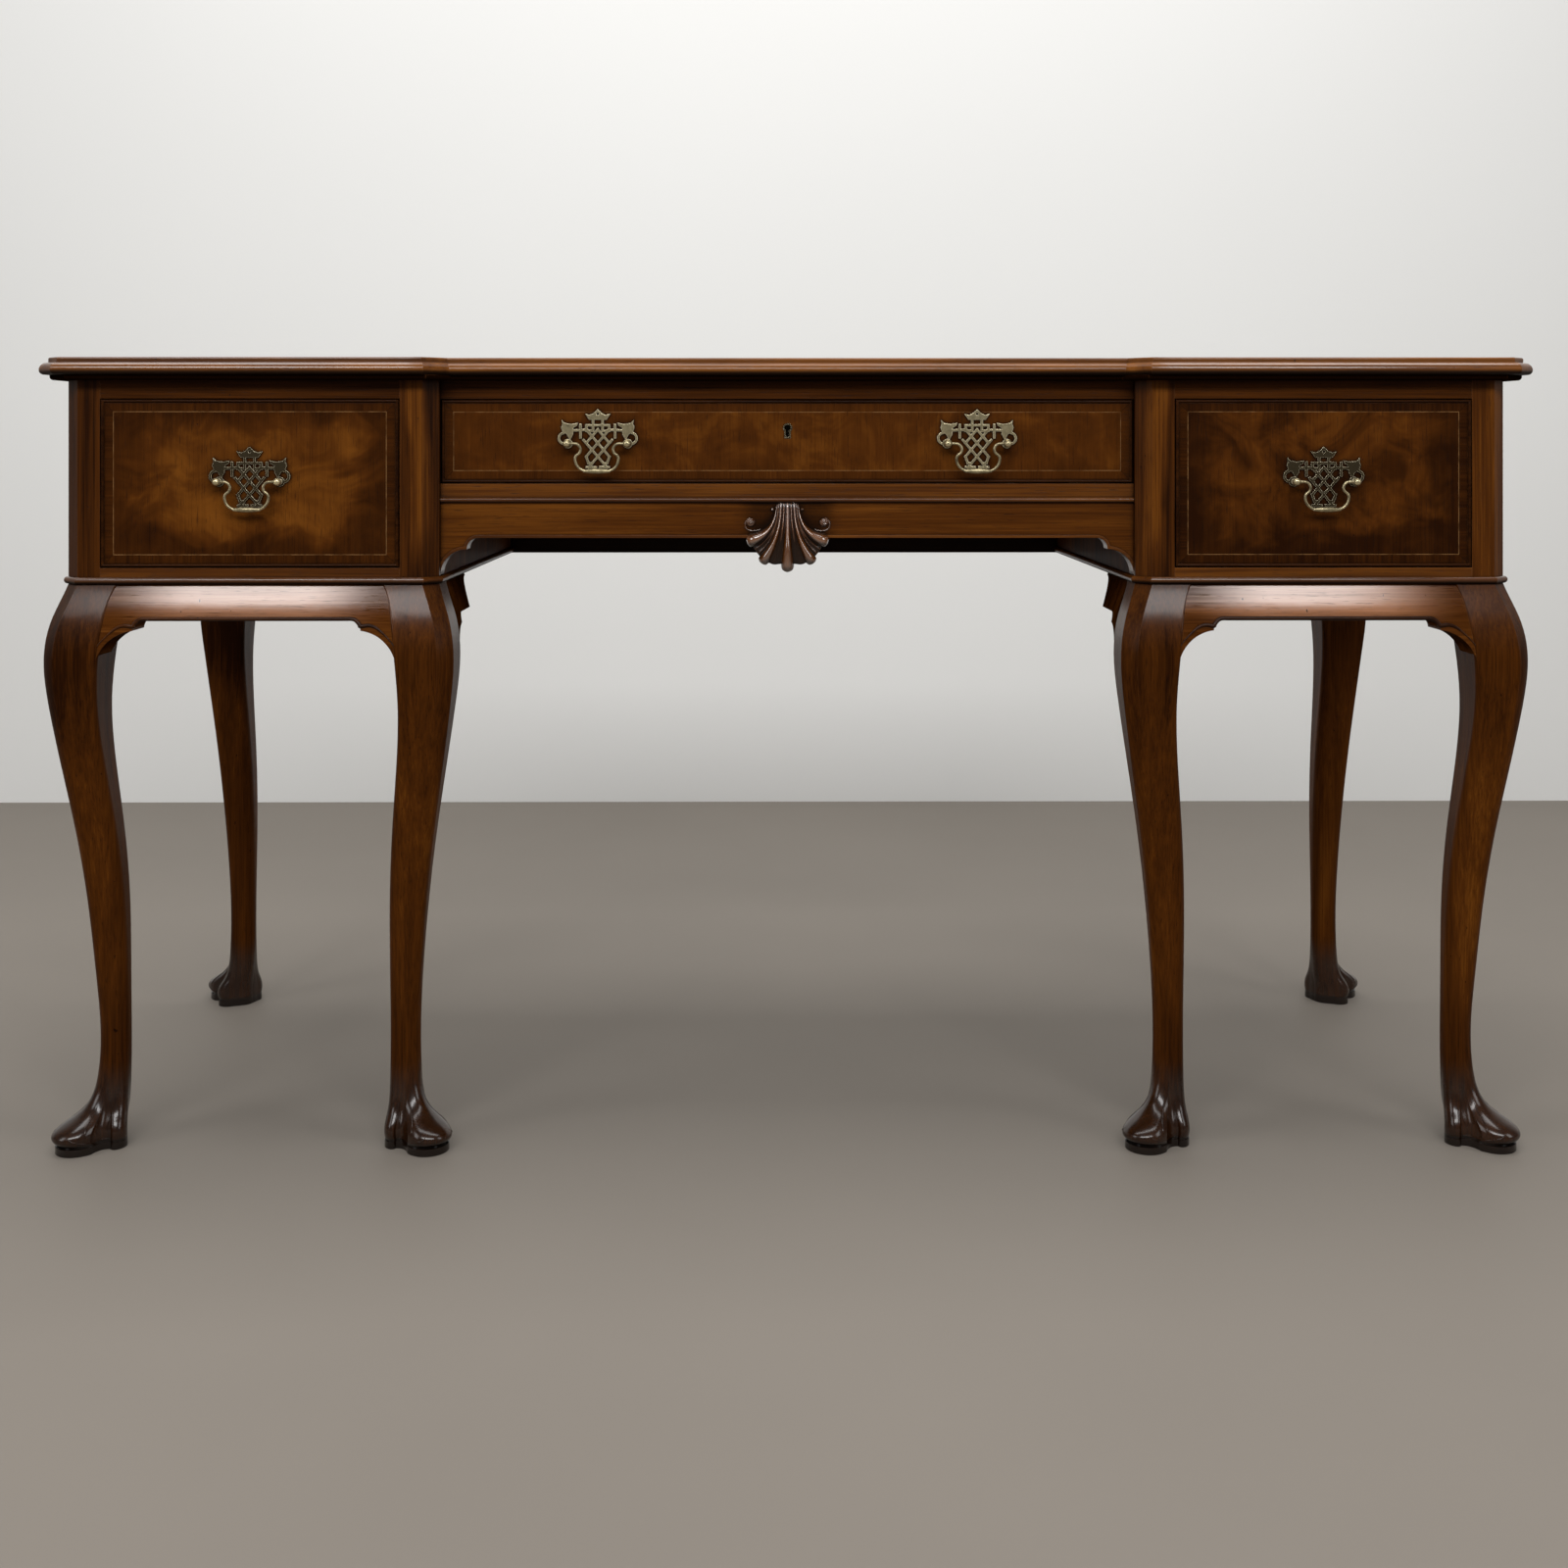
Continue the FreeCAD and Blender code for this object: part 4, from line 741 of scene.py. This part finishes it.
def add_foot_ridges(form, leg, width):
    """Adds the thin ridges beside the hollows of a foot, and the lip that ends each hollow."""
    ankle_low, ankle_high, toe_top, outside, thin = 0.062, 0.078, 0.02, 0.12, 0.25
    points = [vertex.co for vertex in NODES[leg].data.vertices]
    ankle = middle_of([point for point in points if ankle_low < point.z < ankle_high])
    toe = (middle_of([point for point in points if point.z < toe_top]) - ankle).normalized()
    across = Vector((-toe.y, toe.x, 0))
    surface = surface_of([leg])
    for ridge in FOOT_RIDGES:
        for hand in (-1, 1):
            line = []
            for height, angle, _ in smooth_line([(*spot, 0) for spot in ridge], steps=5):
                outward = toe * cos(radians(angle)) + across * hand * sin(radians(angle))
                seen = ankle + outward * outside + Vector((0, 0, height))
                line.append(surface.ray_cast(seen, -outward)[0])
            ends = [min(index, len(line) - 1 - index) / (len(line) - 1) for index in range(len(line))]
            radii = [width / 2 * (thin + (1 - thin) * smooth(share, 0, 0.25)) for share in ends]
            add_tube(form, line, radii, sides=8)


def colour_property(name, description, default):
    """A colour that a user may change."""
    return FloatVectorProperty(
        name=name, description=description, subtype="COLOR", min=0, max=1, default=default)


def measure(name, description, default, unit="LENGTH"):
    """A length or a power that a user may change."""
    return FloatProperty(name=name, description=description, default=default, min=0, unit=unit)


class DeskFinish(bpy.types.PropertyGroup):
    """Colours of the woods and metals, and the sizes of the inlay."""

    walnut_dark: colour_property("Walnut dark", "Darkest streaks of the walnut", (0.0190, 0.0052, 0.0010))
    walnut_mid: colour_property("Walnut", "Main colour of the walnut", (0.0780, 0.0225, 0.0028))
    walnut_light: colour_property("Walnut light", "Golden figure of the walnut", (0.1900, 0.0620, 0.0070))
    # Dark walnut of old polish in pores and dents; also the painted shade of corners, gaps, hollows and
    # undersides.
    shade_and_polish_dark: colour_property(
        "Dark polish", "Old polish in corners, pores and dents", (0.0045, 0.0018, 0.0007))
    # Pale walnut of worn edges; also the painted highlight on the knee rails and the crests of the shell.
    wear_and_highlight_walnut: colour_property("Worn edge", "Walnut where an edge is rubbed", (0.2300, 0.0900, 0.0330))
    string_colour: colour_property("String", "Pale string line in the veneer", (0.240, 0.125, 0.048))
    oak_light: colour_property("Oak light", "Paler oak of the linings", (0.300, 0.185, 0.085))
    oak_dark: colour_property("Oak dark", "Darker oak of the linings", (0.120, 0.066, 0.026))
    brass_bright: colour_property("Brass bright", "Rubbed brass", (0.820, 0.700, 0.420))
    # Pale brass of worn rims, also standing for a painted highlight along the edges.
    brass_rim_wear_and_highlight: colour_property("Brass rim", "Brass worn pale along its edges", (0.920, 0.810, 0.580))
    brass_dark: colour_property("Brass dark", "Tarnished brass", (0.056, 0.042, 0.021))
    band_width: measure("Crossbanding", "Width of the crossbanding", 0.0115)
    string_width: measure("String width", "Width of the string line", 0.0008)


class DeskCarving(bpy.types.PropertyGroup):
    """Sizes of the carving."""

    shell_relief: measure("Shell relief", "How far the ribs of the shell stand out", 0.0062)
    scroll_eye: measure("Scroll eye", "Radius of the eyes beside the shell", 0.0043)
    knee_bead: measure("Knee bead", "Width of the bead under the knee rails", 0.0040)
    foot_ridge: measure("Foot ridge", "Width of the ridges on the feet", 0.0013)


class DeskStage(bpy.types.PropertyGroup):
    """Camera, lamps and room."""

    camera_place: FloatVectorProperty(
        name="Camera place", description="Where the camera stands", subtype="TRANSLATION",
        default=(-0.015, -2.023, 0.694))
    camera_yaw: FloatProperty(
        name="Camera yaw", description="Turn of the camera from straight ahead", subtype="ANGLE",
        default=radians(-0.37))
    lens: FloatProperty(name="Lens", description="Focal length in millimetres", default=41.6, min=1)
    shift: FloatProperty(name="Shift", description="Upward shift of the picture", default=-0.219)
    wall_place: FloatProperty(
        name="Wall", description="Distance of the wall behind the desk", default=1.46, unit="LENGTH")
    wall_colour: colour_property("Wall colour", "Paint of the wall", (0.80, 0.80, 0.785))
    floor_colour: colour_property("Floor colour", "Plain floor", (0.222, 0.196, 0.168))
    room_light: FloatProperty(name="Room light", description="Even light of the room", default=0.12, min=0)
    room_colour: colour_property("Room colour", "Colour of the even light", (1.0, 0.985, 0.96))
    key_power: measure("Key lamp", "Power of the broad lamp in front", 116.0, "POWER")
    top_power: measure("Top lamp", "Power of the lamp overhead", 66.0, "POWER")
    side_power: measure("Side lamps", "Power of each lamp at the sides", 12.0, "POWER")


class DESK_OT_dress_case(bpy.types.Operator):
    """Gives the case, its posts, rails, apron and mouldings their walnut"""
    bl_idname = "desk.dress_case"
    bl_label = "Dress the case"

    def execute(self, context):
        dress(["front_posts"], post_walnut("post walnut"))
        dress(["left_outer_side", "right_outer_side"],
              walnut("side walnut", ALONG_Z, level=0.44, start=0.7, coat=0.08, specular=0.12))
        dress(["left_inner_side", "right_inner_side"],
              walnut("kneehole walnut", ALONG_Z, level=0.3, start=1.1, coat=0.02, specular=0.02, gloss=0.5))
        dress(["back_panel"], back_walnut("back walnut"))
        # A long reach spreads the painted shade of corners over the rails under the top.
        dress(["pedestal_top_rails", "centre_top_rail"],
              walnut("upper rail walnut", ALONG_X, level=0.3, start=0.5, reach=0.07))
        dress(["pedestal_bottom_rails", "centre_drawer_rail"],
              walnut("lower rail walnut", ALONG_X, level=0.62, start=2.1, coat=0.18, specular=0.12))
        dress(["apron"], apron_walnut("apron walnut"))
        dress(["apron_bead", "centre_rail_bead"],
              walnut("bead walnut", ALONG_X, level=0.5, start=2.9, coat=0.25, specular=0.15))
        dress(["waist_moulding"],
              moulding("waist moulding walnut", level=0.5, coat=1.0, specular=0.12, low=0.7))
        # The bed moulding is darkened almost to black, as painted shadow under the top.
        dress(["bed_moulding"],
              moulding("bed moulding walnut", level=-0.4, coat=0.0, specular=0.0, stain=0.7))
        dress(["pedestal_bottoms"], oak("bottom oak", ALONG_X, stain=0.08))
        dress(["drawer_runners", "drawer_stops"], oak("runner oak", ALONG_Y, stain=0.05))
        return {"FINISHED"}


class DESK_OT_dress_top(bpy.types.Operator):
    """Gives the top its veneer and its moulded edge"""
    bl_idname = "desk.dress_top"
    bl_label = "Dress the top"

    def execute(self, context):
        dress(["top_panel"], top_veneer("top veneer"))
        dress(["top_edge_moulding"],
              moulding("top edge walnut", level=0.72, coat=0.3, specular=0.15, streaky=1.7, ends=0.7, low=0.8,
                       wear=0.8, depth=0.5))
        return {"FINISHED"}


class DESK_OT_dress_stand(bpy.types.Operator):
    """Gives the legs, knee rails and ears their walnut"""
    bl_idname = "desk.dress_stand"
    bl_label = "Dress the stand"

    def execute(self, context):
        dress(LEGS, leg_walnut("leg walnut"))
        dress(["left_front_knee_rail", "right_front_knee_rail"],
              rail_walnut("front knee rail walnut", ALONG_X, start=3.3, middle=0.5235, reach=0.135))
        dress(["left_side_knee_rail", "right_side_knee_rail"],
              rail_walnut("side knee rail walnut", ALONG_Y, start=3.7, middle=0.0, reach=0.2))
        dress(["leg_ears"],
              walnut("ear walnut", ALONG_Z, level=0.22, start=4.1, coat=0.0, specular=0.0, gloss=0.6))
        return {"FINISHED"}


class DESK_OT_dress_drawers(bpy.types.Operator):
    """Gives the drawers their veneered fronts, cock beads and oak linings"""
    bl_idname = "desk.dress_drawers"
    bl_label = "Dress the drawers"

    def execute(self, context):
        figures = {
            "left": dict(level=0.16, gain=0.64, patchy=0.3, slant=0.0, lift=0.04, reach=0.93),
            "centre": dict(level=0.34, gain=0.26, patchy=0.6, slant=radians(14), lift=0.0, reach=1.2),
            "right": dict(level=0.04, gain=0.48, patchy=0.7, slant=0.0, lift=0.2, reach=0.93),
        }
        for side, figure in figures.items():
            front = f"{side}_drawer_front"
            dress([front], drawer_veneer(f"{side} drawer veneer", front, **figure))
        # The cock beads are darkened all over, so that they read as dark lines.
        dress([f"{side}_drawer_cock_bead" for side in DRAWERS],
              walnut("cock bead walnut", ALONG_X, level=0.15, start=4.7, specular=0.05, wear=0.3, stain=0.35))
        dress([f"{side}_drawer_sides" for side in DRAWERS], oak("drawer side oak", ALONG_Y))
        dress([f"{side}_drawer_{board}" for side in DRAWERS for board in ("back", "bottom")],
              oak("drawer back oak", ALONG_X, stain=0.03))
        return {"FINISHED"}


class DESK_OT_dress_metal(bpy.types.Operator):
    """Gives the handles and the lock their brass"""
    bl_idname = "desk.dress_metal"
    bl_label = "Dress the handles and lock"

    def execute(self, context):
        dress(["left_handle_plate", "right_handle_plate"],
              brass("pedestal plate brass", polish=0.12, patina=0.95))
        dress(["centre_handle_plates"], brass("centre plate brass", polish=0.66, patina=0.85, rim=0.0011))
        dress([f"{side}_handle_bolts" for side in DRAWERS], brass("bolt brass", polish=0.75, patina=0.8))
        dress([f"{side}_bail" for side in ("left", "right", "centre_left", "centre_right")],
              brass("bail brass", polish=0.6, patina=0.9))
        dress(["keyhole_thread"], brass("keyhole brass", polish=0.1, patina=0.9, rim=0.0003))
        dress(["lock_case", "lock_bolt"], brass("lock brass", polish=0.5, patina=0.6))
        return {"FINISHED"}


class DESK_OT_carve_shell(bpy.types.Operator):
    """Carves the shell on the apron, with its ribs, scrolls and eyes"""
    bl_idname = "desk.carve_shell"
    bl_label = "Carve the shell"

    def execute(self, context):
        eye_radius, eye_rise, eye_turns = context.scene.desk_carving.scroll_eye, 0.0034, 1.6
        curl_radius, curl_rise, curl_turns = 0.0017, 0.0026, 0.5
        stem_radius, stem_taper, stem_set_out, scroll_hollow = 0.0011, 0.0005, 0.0003, 0.42
        low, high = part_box("shell_carving")
        back, top = high.y, high.z
        height = top - low.z

        def spot(hand, place, out=0.0):
            return Vector((hand * place[0] * height, back - out, top - place[1] * height))

        form = bmesh.new()
        add_shell(form, top, height, back)
        ribs = len(form.verts)
        for hand in (-1, 1):
            add_scroll_eye(form, spot(hand, EYE_PLACE), eye_radius, eye_rise, eye_turns, hand)
            add_scroll_eye(form, spot(hand, CURL_PLACE), curl_radius, curl_rise, curl_turns, hand)
            line = smooth_line([spot(hand, place, stem_set_out) for place in SCROLL_LINE], steps=6)
            radii = [stem_radius - stem_taper * index / len(line) for index in range(len(line))]
            add_tube(form, line, radii)
        # A middling hollow share keeps the painted highlight of the crests, and most of the painted shade of
        # the hollows, off the scrolls and eyes.
        layer = form.verts.layers.float["hollow"]
        form.verts.ensure_lookup_table()
        for point in form.verts[ribs:]:
            point[layer] = scroll_hollow
        shell = new_piece("carved_shell", form, shell_walnut("shell walnut"))
        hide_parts("shell_carving")
        return {"FINISHED"}


class DESK_OT_carve_knees(bpy.types.Operator):
    """Runs a bead along the knee rails, with a tail over each knee"""
    bl_idname = "desk.carve_knees"
    bl_label = "Carve the knee beads"

    def execute(self, context):
        form = bmesh.new()
        for side, hand in (("left", -1), ("right", 1)):
            front = [f"{side}_front_outer_leg", f"{side}_front_inner_leg"]
            flank = [f"{side}_front_outer_leg", f"{side}_rear_leg"]
            for rail, legs, along, inward in (
                    (f"{side}_front_knee_rail", front, Vector((1, 0, 0)), Vector((0, 1, 0))),
                    (f"{side}_side_knee_rail", flank, Vector((0, 1, 0)), Vector((-hand, 0, 0)))):
                one, one_radii = knee_bead_line(rail, legs, along, inward)
                two, two_radii = knee_bead_line(rail, legs, -along, inward)
                add_tube(form, one[::-1] + two[1:], one_radii[::-1] + two_radii[1:])
        # A dark walnut on the bead, as painted shade for the dark line of its quirk.
        finish = walnut("knee bead walnut", ALONG_X, level=0.10, start=5.9, coat=0.12, specular=0.1, wear=0.2)
        new_piece("knee_beads", form, finish)
        return {"FINISHED"}


class DESK_OT_carve_feet(bpy.types.Operator):
    """Carves the ridges and lips of the six feet"""
    bl_idname = "desk.carve_feet"
    bl_label = "Carve the feet"

    def execute(self, context):
        form = bmesh.new()
        for leg in LEGS:
            add_foot_ridges(form, leg, context.scene.desk_carving.foot_ridge)
        new_piece("foot_ridges", form, leg_walnut("foot walnut"))
        return {"FINISHED"}


def floor_finish(colour):
    """Plain floor with faint clouds."""
    material, wire, place = new_finish("plain floor")
    shade = place.noise(1.3, 3.0, 0.6).rise(0.2, 0.8)
    tone = shade.blend(solid(colour, 0.96), solid(colour, 1.04))
    close_finish(wire, {"Base Color": tone, "Roughness": 0.62, "Specular IOR Level": 0.2})
    return material


def wall_finish(colour):
    """Matt paint on the side towards the desk, and clear from behind."""
    material, wire, place = new_finish("plain wall")
    shade = place.noise(1.1, 2.0).rise(0.2, 0.8)
    tone = shade.blend(solid(colour, 0.985), solid(colour))
    matt = {"Base Color": tone, "Roughness": 1.0, "Specular IOR Level": 0.0}
    paint = wire.node("ShaderNodeBsdfPrincipled", None, matt)
    clear = wire.node("ShaderNodeBsdfTransparent")
    behind = wire.node("ShaderNodeNewGeometry", None, None, "Backfacing")
    seen = wire.node("ShaderNodeMixShader", None, {0: behind, 1: paint, 2: clear})
    wire.node("ShaderNodeOutputMaterial", None, {"Surface": seen})
    return material


def plane(name, corners):
    """A flat stage piece from its four corners."""
    mesh = bpy.data.meshes.new(name)
    mesh.from_pydata(corners, [], [(0, 1, 2, 3)])
    piece = bpy.data.objects.new(name, mesh)
    bpy.context.scene.collection.objects.link(piece)
    return piece


def lamp(name, place, target, size, power):
    """A broad soft lamp aimed at a point."""
    light = bpy.data.lights.new(name, "AREA")
    light.shape = "RECTANGLE"
    light.size, light.size_y = size
    light.energy = power
    stand = bpy.data.objects.new(name, light)
    stand.location = place
    stand.rotation_euler = (Vector(target) - Vector(place)).to_track_quat("-Z", "Y").to_euler()
    bpy.context.scene.collection.objects.link(stand)


def room(stage):
    """The even light of the room."""
    world = bpy.data.worlds.new("room")
    world.use_nodes = True
    light = world.node_tree.nodes["Background"].inputs
    light["Color"].default_value = solid(stage.room_colour)
    light["Strength"].default_value = stage.room_light
    return world


def camera(stage):
    """A level camera in front of the desk."""
    lens = bpy.data.cameras.new("camera")
    lens.lens = stage.lens
    lens.sensor_width = 36.0
    lens.shift_y = stage.shift
    stand = bpy.data.objects.new("camera", lens)
    stand.location = stage.camera_place
    stand.rotation_euler = (pi / 2, 0, stage.camera_yaw)
    bpy.context.scene.collection.objects.link(stand)
    return stand


class DESK_OT_set_stage(bpy.types.Operator):
    """Sets the floor, the wall, the lamps and the camera"""
    bl_idname = "desk.set_stage"
    bl_label = "Set the stage"

    def execute(self, context):
        stage = context.scene.desk_stage
        wide, tall, back = 7.0, 5.0, stage.wall_place
        floor = plane("floor", [(-wide, -wide, 0), (wide, -wide, 0), (wide, wide, 0), (-wide, wide, 0)])
        floor.data.materials.append(floor_finish(stage.floor_colour))
        wall = plane("wall", [(-wide, back, 0), (wide, back, 0), (wide, back, tall), (-wide, back, tall)])
        wall.data.materials.append(wall_finish(stage.wall_colour))
        lamp("key lamp", place=(-0.15, -3.3, 2.9), target=(-0.15, -0.25, 0.5), size=(4.0, 0.9),
             power=stage.key_power)
        for side in (-1, 1):
            lamp("side lamp", place=(side * 2.6, -1.5, 1.5), target=(side * 0.5, 0, 0.4), size=(0.8, 1.5),
                 power=stage.side_power)
        lamp("top lamp", place=(0, 0, 2.9), target=(0, 0, 0), size=(3.2, 1.4), power=stage.top_power)
        context.scene.world = room(stage)
        context.scene.camera = camera(stage)
        context.scene.view_settings.view_transform = "Standard"
        return {"FINISHED"}


STEPS = ("dress_case", "dress_top", "dress_stand", "dress_drawers", "dress_metal", "carve_shell",
         "carve_knees", "carve_feet", "set_stage")


class DESK_PT_panel(bpy.types.Panel):
    """Lists the desk's steps in the sidebar"""
    bl_idname = "DESK_PT_panel"
    bl_label = "Kneehole desk"
    bl_space_type = "VIEW_3D"
    bl_region_type = "UI"
    bl_category = "Desk"

    def draw(self, context):
        for step in STEPS:
            self.layout.operator(f"desk.{step}")
        for group in (context.scene.desk_finish, context.scene.desk_carving, context.scene.desk_stage):
            box = self.layout.box()
            for name in group.__annotations__:
                box.prop(group, name)


CLASSES = (DeskFinish, DeskCarving, DeskStage, DESK_OT_dress_case, DESK_OT_dress_top, DESK_OT_dress_stand,
           DESK_OT_dress_drawers, DESK_OT_dress_metal, DESK_OT_carve_shell, DESK_OT_carve_knees,
           DESK_OT_carve_feet, DESK_OT_set_stage, DESK_PT_panel)


def register():
    for made in CLASSES:
        bpy.utils.register_class(made)
    bpy.types.Scene.desk_finish = PointerProperty(type=DeskFinish)
    bpy.types.Scene.desk_carving = PointerProperty(type=DeskCarving)
    bpy.types.Scene.desk_stage = PointerProperty(type=DeskStage)


def unregister():
    del bpy.types.Scene.desk_stage
    del bpy.types.Scene.desk_carving
    del bpy.types.Scene.desk_finish
    for made in reversed(CLASSES):
        bpy.utils.unregister_class(made)


def main():
    register()
    for step in STEPS:
        getattr(bpy.ops.desk, step)()


if __name__ == "__main__":
    main()
